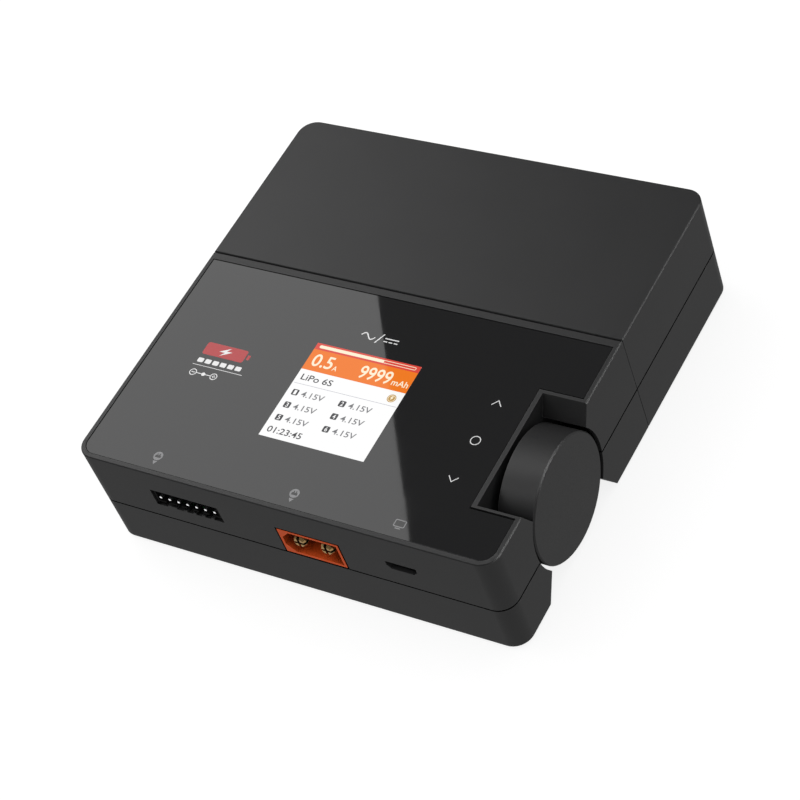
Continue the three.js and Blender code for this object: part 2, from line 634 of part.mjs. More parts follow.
function fanFrame() {
  const half = FAN.size / 2;
  const outline = rectangle(-half, half, -half, half, [3, 3, 3, 3]);
  const frame = push(outline, 'z', 0, FAN.height, CURVE_STEPS / 2);
  const bore = rod('z', 0, 0, FAN.bore, FAN_SPOKE, FAN.height + 1, 4 * CURVE_STEPS);
  const corners = [[1, 1], [1, -1], [-1, 1], [-1, -1]];
  const holes = corners.map(([i, j]) => rod(
    'z', FAN.hole * i, FAN.hole * j, 1.6, -1, FAN.height + 1, CURVE_STEPS));
  const sleeve = cut(
    rod('z', 0, 0, 2.4, 0.5, 3.4, CURVE_STEPS), rod('z', 0, 0, FAN_AXLE_R + GAP, -1, 4, CURVE_STEPS));
  const sleeveSeat = rod('z', 0, 0, 2, -1, 2, CURVE_STEPS);
  return join(cut(frame, bore, ...fanSectors(), ...holes, sleeveSeat), sleeve);
}

// The four openings between the spokes that carry the fan's hub
function fanSectors() {
  const half = Math.PI / 4 - 0.09;
  return [0, 1, 2, 3].map((quarter) => {
    const middle = quarter * Math.PI / 2;
    const shape = new THREE.Shape();
    shape.absarc(0, 0, FAN.bore, middle - half, middle + half, false);
    shape.absarc(0, 0, FAN.seat, middle + half, middle - half, true);
    return push(shape, 'z', -1, 2, CURVE_STEPS);
  });
}

function fanRotor() {
  const cup = turned([
    [0, 3.7], [8.4, 3.7], [8.4, 1.5], [FAN.hub, 1.5], [FAN.hub, 5.6], [FAN.hub - 0.9, 6.5], [0, 6.5],
  ], 'z', 3 * CURVE_STEPS);
  const axle = rod('z', 0, 0, FAN_AXLE_R, 0.6, 4, CURVE_STEPS);
  const blades = Array.from({ length: FAN.blades }, (_, i) => {
    const blade = new THREE.BoxGeometry(FAN.rotor - FAN.hub + 0.4, 0.9, 5.6).rotateX(0.8);
    const turn = (2 * Math.PI / FAN.blades) * i;
    return solid(blade.translate((FAN.rotor + FAN.hub - 0.4) / 2, 0, 4).rotateZ(turn));
  });
  const swept = rod('z', 0, 0, FAN.rotor, 1.5, 6.6, 4 * CURVE_STEPS);
  return join(cup, axle, ...blades.map((blade) => blade.intersect(swept)));
}

// ---- Rotary input holder (its own frame: x from the disc's inner face, y and z from its axis)

const discPlugX = PLUG.x - DISC.x;

function discCover() {
  const { radius, thickness, chamfer } = DISC;
  const cup = turned([
    [0, thickness - DISC_FACE], [DISC_CUP_R, thickness - DISC_FACE], [DISC_CUP_R, 0], [radius, 0],
    [radius, thickness - chamfer], [radius - chamfer, thickness], [0, thickness],
  ], 'x', DISC_FACETS);
  const { half, wall, halfWidth } = MOUTH;
  const shroudWalls = [-half - wall, half].map((z) => box(
    1.5, thickness - DISC_FACE + 0.1, -3, 11, z, z + wall));
  const mouth = box(discPlugX - halfWidth, discPlugX + halfWidth, 11, radius + 1, -half, half);
  return cut(join(cup, ...shroudWalls), mouth);
}

// Inner plate with the hollow axle that carries the leads into the charger
function discHub() {
  return turned([
    [AXLE_BORE_R, -6.5], [AXLE_R, -6.5], [AXLE_R, -4.9], [AXLE_R - 0.7, -4.9], [AXLE_R - 0.7, -3.7],
    [AXLE_R, -3.7], [AXLE_R, 0], [DISC_CUP_R - GAP, 0], [DISC_CUP_R - GAP, HUB_PLATE],
    [AXLE_BORE_R, HUB_PLATE], [AXLE_BORE_R, -6.5],
  ], 'x', 4 * CURVE_STEPS);
}

function discWasher() {
  return turned([
    [AXLE_R + 0.4, -1.4], [7, -1.4], [7, -0.4], [AXLE_R + 0.4, -0.4], [AXLE_R + 0.4, -1.4],
  ], 'x', 3 * CURVE_STEPS);
}

// Open ring sprung into the axle's groove behind the bay wall
function discClip() {
  const ring = turned([
    [AXLE_R - 0.4, -4.7], [6.2, -4.7], [6.2, -3.9], [AXLE_R - 0.4, -3.9], [AXLE_R - 0.4, -4.7],
  ], 'x', 3 * CURVE_STEPS);
  return cut(ring, box(-6, -2, -8, 0, -1.6, 1.6));
}

function inputBlock() {
  const body = box(1.5, 7.8, -9, -3.3, -7, 7);
  const holes = [-1, 1].map((side) => rod(
    'y', -discPlugX, side * BULLET_PITCH / 2, BULLET_R + GAP, -10, 0));
  return cut(body, ...holes);
}

// ---- Power supply internals ---------------------------------------------------------------

const AC_BOARD_TOP = AC_BOARD_Z + BOARD_T + GAP;

// Core with two windows, its middle leg upright
function transformerCore() {
  const { width, depth, height } = TRANSFORMER;
  const windows = [-1, 1].map((side) => block(side * 6.8, 0, 6.2, 2 * depth, 3, height - 3));
  return cut(block(0, 0, width, depth, 0, height), ...windows);
}

function transformerWinding() {
  const { depth, height } = TRANSFORMER;
  const outline = rectangle(-9.2, 9.2, 1 - depth, depth - 1, [2, 2, 2, 2]);
  const ring = push(outline, 'z', 3.4, height - 3.4, CURVE_STEPS / 2);
  return cut(ring, block(0, 0, 8, depth + 0.8, 0, height + 1));
}

// Can lying on the board, its axis along x
function mainsCapacitor() {
  const { radius: r, length } = MAINS_CAPACITOR;
  const [h, edge] = [length / 2, 0.5];
  return turned([
    [0, -h], [r - edge, -h], [r, edge - h], [r, 2.9 - h], [r - edge, 3.4 - h], [r, 3.9 - h],
    [r, h - edge], [r - edge, h], [0, h],
  ], 'x', 3 * CURVE_STEPS);
}

function choke() {
  const { radius: r, bore, height } = CHOKE;
  const [h, edge] = [height / 2, 0.6];
  return turned([
    [bore, -h], [r - edge, -h], [r, edge - h], [r, h - edge], [r - edge, h], [bore, h], [bore, -h],
  ], 'z', 3 * CURVE_STEPS);
}

function acHeatSink() {
  const { width, depth, height, base } = AC_HEAT_SINK;
  const grooves = [-1, 0, 1].map((row) => block(row * 3.8, 0, 2, depth + 2, base, height + 1));
  return cut(block(0, 0, width, depth, 0, height), ...grooves);
}

// Figure-eight pocket of the two-pin mains inlet
function inletOutline() {
  const { x, z, pocketR, pitch } = INLET;
  const shape = new THREE.Shape();
  shape.absarc(-x + pitch / 2, z, pocketR, -Math.PI / 2, Math.PI / 2, false);
  shape.absarc(-x - pitch / 2, z, pocketR, Math.PI / 2, 1.5 * Math.PI, false);
  return shape;
}

function acInlet() {
  const { x, z, width, height, depth, pocket } = INLET;
  const face = REAR - 0.3;
  const body = box(x - width / 2, x + width / 2, face - depth, face, z - height / 2, z + height / 2);
  const holes = inletPinPlaces().map((px) => rod(
    'y', -px, z, INLET_PIN.radius + GAP, face - depth - 1, face, CURVE_STEPS));
  return cut(body, push(inletOutline(), 'y', face - pocket, face + 1, CURVE_STEPS), ...holes);
}

const inletPinPlaces = () => [INLET.x - INLET.pitch / 2, INLET.x + INLET.pitch / 2];

function addInletPins() {
  const { radius: r, length, recess } = INLET_PIN;
  const outline = [[0, 0], [r, 0], [r, length - 0.8], [r - 0.7, length], [0, length]];
  const pin = turned(outline, 'y', 2 * CURVE_STEPS);
  inletPinPlaces().forEach((px, i) => {
    add(acModule, `ac_inlet_pin_${i + 1}`, pin, TIN, [px, REAR - recess - length, INLET.z]);
  });
}

// Output plug: a flange inside the wall and a long nose that reaches the rotary holder
function acPlug() {
  const { x, z, width, height, tip } = PLUG;
  const wallInside = AC_FRONT + WALL;
  const flange = box(x - 4.4, RIGHT - WALL - 0.4, wallInside + GAP, wallInside + 6, z - 8.4, z + 8.4);
  const nose = box(x - width / 2, x + width / 2, tip, wallInside + 1, z - height / 2, z + height / 2);
  const bores = [-1, 1].map((side) => rod(
    'y', -x, z + side * BULLET_PITCH / 2, TUBE.outer + GAP, tip - 1, tip + 40));
  return cut(join(flange, nose), ...bores);
}

// Tube contact, its axis along y from its own origin
function plugContact() {
  const { inner, outer, length } = TUBE;
  const outline = [[inner, 0], [outer, 0], [outer, length], [inner, length], [inner, 0]];
  return turned(outline, 'y', 2 * CURVE_STEPS);
}

// ---- Assembly -----------------------------------------------------------------------------

const slab = ({ width, depth, bottom, top }) => block(0, 0, width, depth, bottom, top);

function buildCharger() {
  add(dcModule, 'dc_upper_shell', dcUpperShell(), CASE);
  add(dcModule, 'dc_lower_shell', dcLowerShell(), CASE);
  add(dcModule, 'glass_panel', glassBlank(0, GLASS.bottom, GLASS.top), GLASS_BLACK);
  add(dcModule, 'screen_module', slab(SCREEN), SCREEN_WHITE, [SCREEN.x, SCREEN.y, 0]);
  add(dcModule, 'screen_ribbon', screenRibbon(), AMBER, [SCREEN.x, SCREEN.y + SCREEN.depth / 2 + GAP, 0]);
  add(dcModule, 'touch_key_board', slab(KEYS), BOARD_GREEN, [KEYS.x, KEYS.y, 0]);
  add(dcModule, 'main_board', mainBoard(), BOARD_GREEN);
  add(dcModule, 'balance_socket', balanceSocket(), BLACK);
  addBalancePins();
  add(dcModule, 'output_socket', outletSocket(), ORANGE);
  addOutletContacts();
  add(dcModule, 'usb_shell', usbShell(), STEEL);
  add(dcModule, 'usb_tongue', usbTongue(), BLACK);
  add(dcModule, 'heat_sink', heatSink(), ALUMINIUM);
  INDUCTOR.places.forEach(([x, y], i) => {
    add(dcModule, `inductor_${i + 1}`, inductor(), FERRITE, [x, y, MAIN_BOARD_Z - GAP]);
  });
  add(dcModule, 'dc_capacitor', capacitor(), CAN, [CAPACITOR.x, CAPACITOR.y, MAIN_BOARD_Z - GAP]);
  addFeet(dcModule, 'dc_foot', DC_FEET);
  addScrews(dcModule, 'dc_screw', DC_SCREWS);
}

function buildFan() {
  add(fan, 'fan_frame', fanFrame(), BLACK);
  add(fan, 'fan_rotor', fanRotor(), BLACK);
}

function buildInputDisc() {
  add(inputDisc, 'disc_cover', discCover(), CASE);
  add(inputDisc, 'disc_hub', discHub(), CASE);
  add(inputDisc, 'disc_washer', discWasher(), STEEL);
  add(inputDisc, 'disc_clip', discClip(), STEEL);
  add(inputDisc, 'input_block', inputBlock(), ORANGE);
  const { base, length, slot } = INPUT_CONTACT;
  const contact = bullet('y', length, slot);
  add(inputDisc, 'input_contact_positive', contact, GOLD, [discPlugX, base, BULLET_PITCH / 2]);
  add(inputDisc, 'input_contact_negative', contact, GOLD, [discPlugX, base, -BULLET_PITCH / 2]);
}

function buildPowerSupply() {
  add(acModule, 'ac_upper_shell', acUpperShell(), CASE);
  add(acModule, 'ac_lower_shell', acLowerShell(), CASE);
  add(acModule, 'ac_board', acBoard(), BOARD_GREEN);
  const core = [TRANSFORMER.x, TRANSFORMER.y, AC_BOARD_TOP];
  add(acModule, 'transformer_core', transformerCore(), FERRITE, core);
  add(acModule, 'transformer_winding', transformerWinding(), TAPE, core);
  const can = [MAINS_CAPACITOR.x, MAINS_CAPACITOR.y, AC_BOARD_TOP + MAINS_CAPACITOR.radius + 0.2];
  add(acModule, 'mains_capacitor', mainsCapacitor(), CAN, can);
  add(acModule, 'mains_choke', choke(), TAPE, [CHOKE.x, CHOKE.y, AC_BOARD_TOP + CHOKE.height / 2]);
  add(acModule, 'ac_heat_sink', acHeatSink(), ALUMINIUM, [AC_HEAT_SINK.x, AC_HEAT_SINK.y, AC_BOARD_TOP]);
  add(acModule, 'ac_inlet', acInlet(), BLACK);
  addInletPins();
  add(acModule, 'ac_plug', acPlug(), BLACK);
  const contact = plugContact();
  const [y, half] = [PLUG.tip + TUBE.recess, BULLET_PITCH / 2];
  add(acModule, 'ac_plug_contact_positive', contact, GOLD, [PLUG.x, y, PLUG.z + half]);
  add(acModule, 'ac_plug_contact_negative', contact, GOLD, [PLUG.x, y, PLUG.z - half]);
  addFeet(acModule, 'ac_foot', AC_FEET);
  addScrews(acModule, 'ac_screw', AC_SCREWS);
}

buildCharger();
buildFan();
buildInputDisc();
buildPowerSupply();

export default charger;
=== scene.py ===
"""Looks for the two-module balance battery charger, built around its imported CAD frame.

Metres throughout; lengths written in millimetres are multiplied by MM. +Z is up, the ports face -Y.
"""

import json
import math

import bmesh
import bpy
from mathutils import Matrix, Vector

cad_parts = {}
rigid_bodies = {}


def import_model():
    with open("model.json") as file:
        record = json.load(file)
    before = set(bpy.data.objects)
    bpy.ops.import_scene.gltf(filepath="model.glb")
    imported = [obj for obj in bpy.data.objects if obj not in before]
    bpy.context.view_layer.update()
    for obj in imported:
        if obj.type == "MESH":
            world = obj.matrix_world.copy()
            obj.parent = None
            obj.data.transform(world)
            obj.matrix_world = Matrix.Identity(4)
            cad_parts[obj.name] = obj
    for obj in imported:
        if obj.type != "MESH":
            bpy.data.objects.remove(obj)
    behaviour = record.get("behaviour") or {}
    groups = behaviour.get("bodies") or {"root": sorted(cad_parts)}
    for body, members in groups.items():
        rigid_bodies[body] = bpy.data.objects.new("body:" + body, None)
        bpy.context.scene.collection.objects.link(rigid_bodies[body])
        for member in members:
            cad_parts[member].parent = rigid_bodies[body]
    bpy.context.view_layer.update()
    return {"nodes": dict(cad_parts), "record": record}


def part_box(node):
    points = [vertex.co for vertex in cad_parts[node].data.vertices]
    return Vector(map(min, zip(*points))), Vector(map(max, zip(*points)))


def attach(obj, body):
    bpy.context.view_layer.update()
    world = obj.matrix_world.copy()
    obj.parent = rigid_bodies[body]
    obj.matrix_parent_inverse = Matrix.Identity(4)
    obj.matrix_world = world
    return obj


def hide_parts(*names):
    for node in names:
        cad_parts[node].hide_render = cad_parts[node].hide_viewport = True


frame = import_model()

MM = 0.001
BODY_OF = {
    node: body
    for body, nodes in frame["record"]["behaviour"]["bodies"].items()
    for node in nodes
}
SLOT_OF = {part["node"]: part["material_slot"] for part in frame["record"]["subparts"]}


# ---- Material building blocks ---------------------------------------------------------------


def new_material(name):
    material = bpy.data.materials.new(name)
    material.use_nodes = True
    nodes = material.node_tree.nodes
    return material, nodes, material.node_tree.links, nodes["Principled BSDF"]


def noise(nodes, links, scale, detail=3.0, roughness=0.5, stretch=None):
    """Noise of so many cells per metre of the object; stretch draws it out along chosen axes."""
    coords = nodes.new("ShaderNodeTexCoord")
    texture = nodes.new("ShaderNodeTexNoise")
    texture.inputs["Scale"].default_value = scale
    texture.inputs["Detail"].default_value = detail
    texture.inputs["Roughness"].default_value = roughness
    source = coords.outputs["Object"]
    if stretch:
        mapping = nodes.new("ShaderNodeMapping")
        mapping.inputs["Scale"].default_value = stretch
        links.new(source, mapping.inputs["Vector"])
        source = mapping.outputs["Vector"]
    links.new(source, texture.inputs["Vector"])
    return texture.outputs["Fac"]


def remap(nodes, links, value, low, high, to_low, to_high):
    """The value with low..high stretched over to_low..to_high, and held at the ends."""
    node = nodes.new("ShaderNodeMapRange")
    limits = {"From Min": low, "From Max": high, "To Min": to_low, "To Max": to_high}
    for name, number in limits.items():
        node.inputs[name].default_value = number
    links.new(value, node.inputs["Value"])
    return node.outputs["Result"]


NOISE_LOW, NOISE_HIGH = 0.3, 0.7  # between which a noise texture mostly stays


def spread(nodes, links, texture, low, high):
    """A noise texture's usual range stretched over low..high."""
    return remap(nodes, links, texture, NOISE_LOW, NOISE_HIGH, low, high)


def blend_colour(nodes, links, factor, first, second):
    node = nodes.new("ShaderNodeMix")
    node.data_type = "RGBA"
    links.new(factor, node.inputs["Factor"])
    for socket, colour in (("A", first), ("B", second)):
        target = next(s for s in node.inputs if s.name == socket and s.type == "RGBA")
        if isinstance(colour, bpy.types.NodeSocket):
            links.new(colour, target)
        else:
            target.default_value = (*colour, 1.0)
    return next(s for s in node.outputs if s.type == "RGBA")


def bump(nodes, links, height, strength, depth_mm):
    node = nodes.new("ShaderNodeBump")
    node.inputs["Strength"].default_value = strength
    node.inputs["Distance"].default_value = depth_mm * MM
    links.new(height, node.inputs["Height"])
    return node.outputs["Normal"]


EDGE_SAMPLES = 4
EDGE_COSINES = (1.0, 0.8)  # rounded against true normal: on a flat, and on an edge given the full painted highlight
SEAM_SAMPLES = 6
SEAM_OPENNESS = (0.45, 0.85)  # occlusion at the darkest seam, and where a face counts as open
LEVEL_COSINES = (0.4, 0.9)  # upward part of a normal: still upright, and fully level


def edge_mask(nodes, links, radius_mm):
    """0 on flats, rising towards 1 on edges tighter than the radius: the mask for the painted edge
    highlight.
    """
    rounded = nodes.new("ShaderNodeBevel")
    rounded.samples = EDGE_SAMPLES
    rounded.inputs["Radius"].default_value = radius_mm * MM
    flat = nodes.new("ShaderNodeNewGeometry")
    dot = nodes.new("ShaderNodeVectorMath")
    dot.operation = "DOT_PRODUCT"
    links.new(rounded.outputs["Normal"], dot.inputs[0])
    links.new(flat.outputs["Normal"], dot.inputs[1])
    return remap(nodes, links, dot.outputs["Value"], *EDGE_COSINES, 0.0, 1.0)


def math_node(nodes, links, operation, *values):
    """One math node's result; each value is a number or another node's output."""
    node = nodes.new("ShaderNodeMath")
    node.operation = operation
    for socket, value in zip(node.inputs, values):
        if isinstance(value, bpy.types.NodeSocket):
            links.new(value, socket)
        else:
            socket.default_value = value
    return node.outputs["Value"]


def openness(nodes, links, reach_mm):
    """1 on open faces, falling towards 0 inside seams and slots tighter than the reach: the mask for
    painted shade.
    """
    node = nodes.new("ShaderNodeAmbientOcclusion")
    node.samples = SEAM_SAMPLES
    node.inputs["Distance"].default_value = reach_mm * MM
    return remap(nodes, links, node.outputs["AO"], *SEAM_OPENNESS, 0.0, 1.0)


def face_normal(nodes, links, axis):
    """One part, X, Y or Z, of the direction that a face points in."""
    normal = nodes.new("ShaderNodeSeparateXYZ")
    links.new(nodes.new("ShaderNodeNewGeometry").outputs["True Normal"], normal.inputs["Vector"])
    return normal.outputs[axis]


def steepness(nodes, links):
    """1 on upright faces, 0 on level ones."""
    level = math_node(nodes, links, "ABSOLUTE", face_normal(nodes, links, "Z"))
    return remap(nodes, links, level, *LEVEL_COSINES, 1.0, 0.0)


def shade(colour, factor):
    return tuple(min(1.0, channel * factor) for channel in colour)


# ---- Materials ------------------------------------------------------------------------------


# Painted highlight: edges rounder than this radius are made paler, standing in for the light they
# catch.
EDGE_HIGHLIGHT_RADIUS_MM = 0.35
SEAM_SHADE = 0.05  # painted shade: tone left at the bottom of a seam or slot
# Painted shade on the gloss: specular level left at the bottom of a seam or slot.
SEAM_SHEEN = 0.02


def moulded_plastic(name, colour, roughness, grain_mm=0.22, grain=0.25, edge_highlight=1.5, sheen=0.5,
                    painted_shade_mm=0.0, shade_level_faces_only=False):
    """Fine even grain, faint cloudiness, a painted highlight along the edges and, if asked, painted
    shade in seams and slots.

    The shade reach is how far apart faces may be and still lay painted shade on each other. With the
    level-only switch, the painted shade stays off upright faces.
    """
    material, nodes, links, shader = new_material(name)
    cloud = noise(nodes, links, scale=70.0, detail=4.0)
    body = blend_colour(nodes, links, spread(nodes, links, cloud, 0.0, 1.0),
                        shade(colour, 0.94), shade(colour, 1.06))
    # Painted highlight: the edges are made paler, standing in for the light they catch.
    edges = edge_mask(nodes, links, EDGE_HIGHLIGHT_RADIUS_MM)
    highlit_and_shaded = blend_colour(nodes, links, edges, body, shade(colour, edge_highlight))
    shader.inputs["Specular IOR Level"].default_value = sheen
    # Painted shade: seams, slots and recesses are darkened, and their sheen lowered, where the
    # occlusion mask falls.
    if painted_shade_mm:
        clear = openness(nodes, links, painted_shade_mm)
        if shade_level_faces_only:
            clear = math_node(nodes, links, "MAXIMUM", clear, steepness(nodes, links))
        highlit_and_shaded = blend_colour(nodes, links, clear, shade(colour, SEAM_SHADE), highlit_and_shaded)
        sheen_with_painted_shade = remap(nodes, links, clear, 0.0, 1.0, SEAM_SHEEN, sheen)
        links.new(sheen_with_painted_shade, shader.inputs["Specular IOR Level"])
    links.new(highlit_and_shaded, shader.inputs["Base Color"])
    fine = noise(nodes, links, scale=1.0 / (grain_mm * MM), detail=2.0)
    links.new(spread(nodes, links, fine, roughness - 0.05, roughness + 0.05),
              shader.inputs["Roughness"])
    links.new(bump(nodes, links, fine, strength=grain, depth_mm=0.02), shader.inputs["Normal"])
    return material


GLASS_IOR = 1.5


def panel_glass(name, colour):
    """Black back-printed glass: deep, glossy, with the faintest waviness and dust."""
    material, nodes, links, shader = new_material(name)
    smudge = noise(nodes, links, scale=45.0, detail=5.0, roughness=0.6)
    links.new(blend_colour(nodes, links, smudge, shade(colour, 0.97), shade(colour, 1.03)),
              shader.inputs["Base Color"])
    links.new(remap(nodes, links, smudge, 0.35, 0.7, 0.015, 0.04), shader.inputs["Roughness"])
    wave = noise(nodes, links, scale=12.0, detail=1.0)
    links.new(bump(nodes, links, wave, strength=0.02, depth_mm=0.02), shader.inputs["Normal"])
    shader.inputs["IOR"].default_value = GLASS_IOR
    return material


SCREEN_DOT_MM = 0.1155
DOT_GAP = {"share": 0.06, "shade": 0.93}


def lit_screen(name, colour):
    """A colour shown by the display, with its grid of dots, under the glossy panel."""
    material, nodes, links, shader = new_material(name)
    coords = nodes.new("ShaderNodeTexCoord")
    grid = nodes.new("ShaderNodeTexBrick")
    grid.offset = 0.0
    grid.inputs["Scale"].default_value = 1.0 / (SCREEN_DOT_MM * MM)
    grid.inputs["Brick Width"].default_value = 1.0
    grid.inputs["Row Height"].default_value = 1.0
    grid.inputs["Mortar Size"].default_value = DOT_GAP["share"]
    for socket, level in (("Color1", 1.0), ("Color2", 1.0), ("Mortar", DOT_GAP["shade"])):
        grid.inputs[socket].default_value = (*shade(colour, level), 1.0)
    links.new(coords.outputs["Object"], grid.inputs["Vector"])
    links.new(grid.outputs["Color"], shader.inputs["Emission Color"])
    shader.inputs["Emission Strength"].default_value = 1.0
    shader.inputs["Base Color"].default_value = (0.0, 0.0, 0.0, 1.0)
    shader.inputs["Roughness"].default_value = 0.03
    shader.inputs["Specular IOR Level"].default_value = 0.22
    return material


def printed_ink(name, colour):
    """Ink printed on the back of the glass, so it shares the panel's gloss."""
    material, nodes, links, shader = new_material(name)
    speckle = noise(nodes, links, scale=6000.0, detail=2.0)
    links.new(blend_colour(nodes, links, speckle, shade(colour, 0.92), shade(colour, 1.05)),
              shader.inputs["Base Color"])
    links.new(spread(nodes, links, speckle, 0.03, 0.06), shader.inputs["Roughness"])
    return material


def metal(name, colour, roughness, stretch=(1.0, 1.0, 1.0), metallic=1.0, painted_shade_mm=0.0):
    """Plated or drawn metal: brushed streaks in roughness and tone and, if asked, painted shade in
    slots.
    """
    material, nodes, links, shader = new_material(name)
    streaks = noise(nodes, links, scale=2500.0, roughness=0.6, stretch=stretch)
    tone = blend_colour(nodes, links, streaks, shade(colour, 0.86), shade(colour, 1.08))
    # Painted shade: slots and recesses in the metal are darkened where the occlusion mask falls.
    if painted_shade_mm:
        clear = openness(nodes, links, painted_shade_mm)
        tone = blend_colour(nodes, links, clear, shade(colour, SEAM_SHADE), tone)
    links.new(tone, shader.inputs["Base Color"])
    links.new(spread(nodes, links, streaks, roughness - 0.07, roughness + 0.1),
              shader.inputs["Roughness"])
    links.new(bump(nodes, links, streaks, strength=0.15, depth_mm=0.01), shader.inputs["Normal"])
    shader.inputs["Metallic"].default_value = metallic
    return material


# Painted glint: the pin ends are made less metallic and glow faintly, so they read as bright dots.
PAINTED_PIN_GLINT = {"from": -0.7, "to": -0.95, "metallic": 0.2, "glow": 0.75}


def tinned_pin(name, colour):
    """Tinned pin: dark mirror sides, and a blunt end with a painted glint, a faint glow and less metal,
    so that it shows bright at the port's mouth.
    """
    material = metal(name, colour, roughness=0.3, stretch=(1.0, 0.1, 1.0))
    nodes, links = material.node_tree.nodes, material.node_tree.links
    shader = nodes["Principled BSDF"]
    facing = face_normal(nodes, links, "Y")
    for socket, side, end in (("Metallic", 1.0, PAINTED_PIN_GLINT["metallic"]),
                              ("Emission Strength", 0.0, PAINTED_PIN_GLINT["glow"])):
        level = remap(nodes, links, facing, PAINTED_PIN_GLINT["from"], PAINTED_PIN_GLINT["to"], side, end)
        links.new(level, shader.inputs[socket])
    shader.inputs["Emission Color"].default_value = (1.0, 1.0, 1.0, 1.0)
    return material


MASK_GREEN, TRACK_GREEN = (0.008, 0.06, 0.022), (0.03, 0.17, 0.06)


def circuit_board(name):
    """Solder mask over copper tracks, which stand up a little and show paler."""
    material, nodes, links, shader = new_material(name)
    coords = nodes.new("ShaderNodeTexCoord")
    cells = nodes.new("ShaderNodeTexVoronoi")
    cells.distance = "CHEBYCHEV"
    cells.feature = "DISTANCE_TO_EDGE"
    cells.inputs["Scale"].default_value = 420.0
    links.new(coords.outputs["Object"], cells.inputs["Vector"])
    tracks = remap(nodes, links, cells.outputs["Distance"], 0.05, 0.12, 1.0, 0.0)
    links.new(blend_colour(nodes, links, tracks, MASK_GREEN, TRACK_GREEN), shader.inputs["Base Color"])
    links.new(bump(nodes, links, tracks, strength=0.4, depth_mm=0.03), shader.inputs["Normal"])
    fine = noise(nodes, links, scale=1800.0)
    links.new(spread(nodes, links, fine, 0.28, 0.42), shader.inputs["Roughness"])
    return material


WAVE_PERIOD = 0.314  # metres from crest to crest of the wave texture at scale 1


def wound_tape(name, colour, pitch_mm):
    """Tape or wire wound in turns: regular ridges with a soft gloss."""
    material, nodes, links, shader = new_material(name)
    coords = nodes.new("ShaderNodeTexCoord")
    turns = nodes.new("ShaderNodeTexWave")
    turns.bands_direction = "Z"
    turns.inputs["Scale"].default_value = WAVE_PERIOD / (pitch_mm * MM)
    turns.inputs["Distortion"].default_value = 0.6
    links.new(coords.outputs["Object"], turns.inputs["Vector"])
    links.new(blend_colour(nodes, links, turns.outputs["Fac"], shade(colour, 0.75), colour),
              shader.inputs["Base Color"])
    ridges = bump(nodes, links, turns.outputs["Fac"], strength=0.5, depth_mm=0.08)
    links.new(ridges, shader.inputs["Normal"])
    fine = noise(nodes, links, scale=900.0)
    links.new(spread(nodes, links, fine, 0.3, 0.45), shader.inputs["Roughness"])
    return material


# Each finish's edge factor paints a highlight along its edges, and its reach in millimetres paints
# shade into seams, slots and cavities.
PLASTICS = {
    "case_plastic": {"colour": (0.0165, 0.0165, 0.0169), "roughness": 0.43, "edge_highlight": 2.6,
                     "painted_shade_mm": 1.2, "shade_level_faces_only": True},
    "black_plastic": {"colour": (0.0035, 0.0035, 0.0035), "roughness": 0.62, "sheen": 0.2},
    "orange_plastic": {"colour": (0.66, 0.082, 0.01), "roughness": 0.5, "grain_mm": 0.15, "grain": 0.12,
                       "edge_highlight": 1.6, "sheen": 0.3, "painted_shade_mm": 4.5},
    "foot_rubber": {"colour": (0.012, 0.012, 0.012), "roughness": 0.85, "grain_mm": 0.3, "grain": 0.5,
                    "edge_highlight": 1.1, "sheen": 0.3},
    "ferrite": {"colour": (0.035, 0.038, 0.042), "roughness": 0.7, "grain_mm": 0.12, "grain": 0.6,
                "edge_highlight": 1.8},
    "capacitor_sleeve": {"colour": (0.012, 0.025, 0.085), "roughness": 0.25, "grain_mm": 0.4,
                         "grain": 0.1},
    "flex_film": {"colour": (0.42, 0.17, 0.03), "roughness": 0.3, "grain_mm": 0.5, "grain": 0.1},
}
# The gold's reach in millimetres paints shade into its slots.
METALS = {
    "gold_contact": {"colour": (0.9, 0.58, 0.24), "roughness": 0.17, "stretch": (1.0, 0.08, 1.0),
                     "metallic": 0.9, "painted_shade_mm": 2.2},
    "steel": {"colour": (0.62, 0.63, 0.65), "roughness": 0.3},
    "aluminium": {"colour": (0.62, 0.63, 0.65), "roughness": 0.36, "stretch": (1.0, 0.05, 1.0)},
}
LOOKS = {
    **{name: moulded_plastic(name, **finish) for name, finish in PLASTICS.items()},
    **{name: metal(name, **finish) for name, finish in METALS.items()},
    "panel_glass": panel_glass("panel_glass", (0.0127, 0.0127, 0.0131)),
    "display": lit_screen("display", (0.97, 0.97, 0.97)),
    "tin_contact": tinned_pin("tin_contact", (0.5, 0.5, 0.51)),
    "circuit_board": circuit_board("circuit_board"),
    "winding_tape": wound_tape("winding_tape", (0.62, 0.4, 0.05), pitch_mm=1.2),
}


# ---- Mesh building blocks -------------------------------------------------------------------


def link_mesh(name, mesh):
    piece = bpy.data.objects.new(name, mesh)
    bpy.context.scene.collection.objects.link(piece)
    return piece


def apply_modifiers(piece):
    graph = bpy.context.evaluated_depsgraph_get()
    mesh = bpy.data.meshes.new_from_object(piece.evaluated_get(graph))
    piece.modifiers.clear()
    piece.data = mesh


SMOOTH_DEGREES = 38.0  # edges flatter than this are shaded smoothly
ROUND_DEGREES = 30.0  # edges sharper than this are rounded
ROUND_SEGMENTS = 3
FLAT_FACE_WEIGHT = 80


def smooth_by_angle(mesh):
    bm = bmesh.new()
    bm.from_mesh(mesh)
    for face in bm.faces:
        face.smooth = True
    for edge in bm.edges:
        paired = len(edge.link_faces) == 2
        edge.smooth = paired and edge.calc_face_angle(0.0) < math.radians(SMOOTH_DEGREES)
    bm.to_mesh(mesh)
    bm.free()


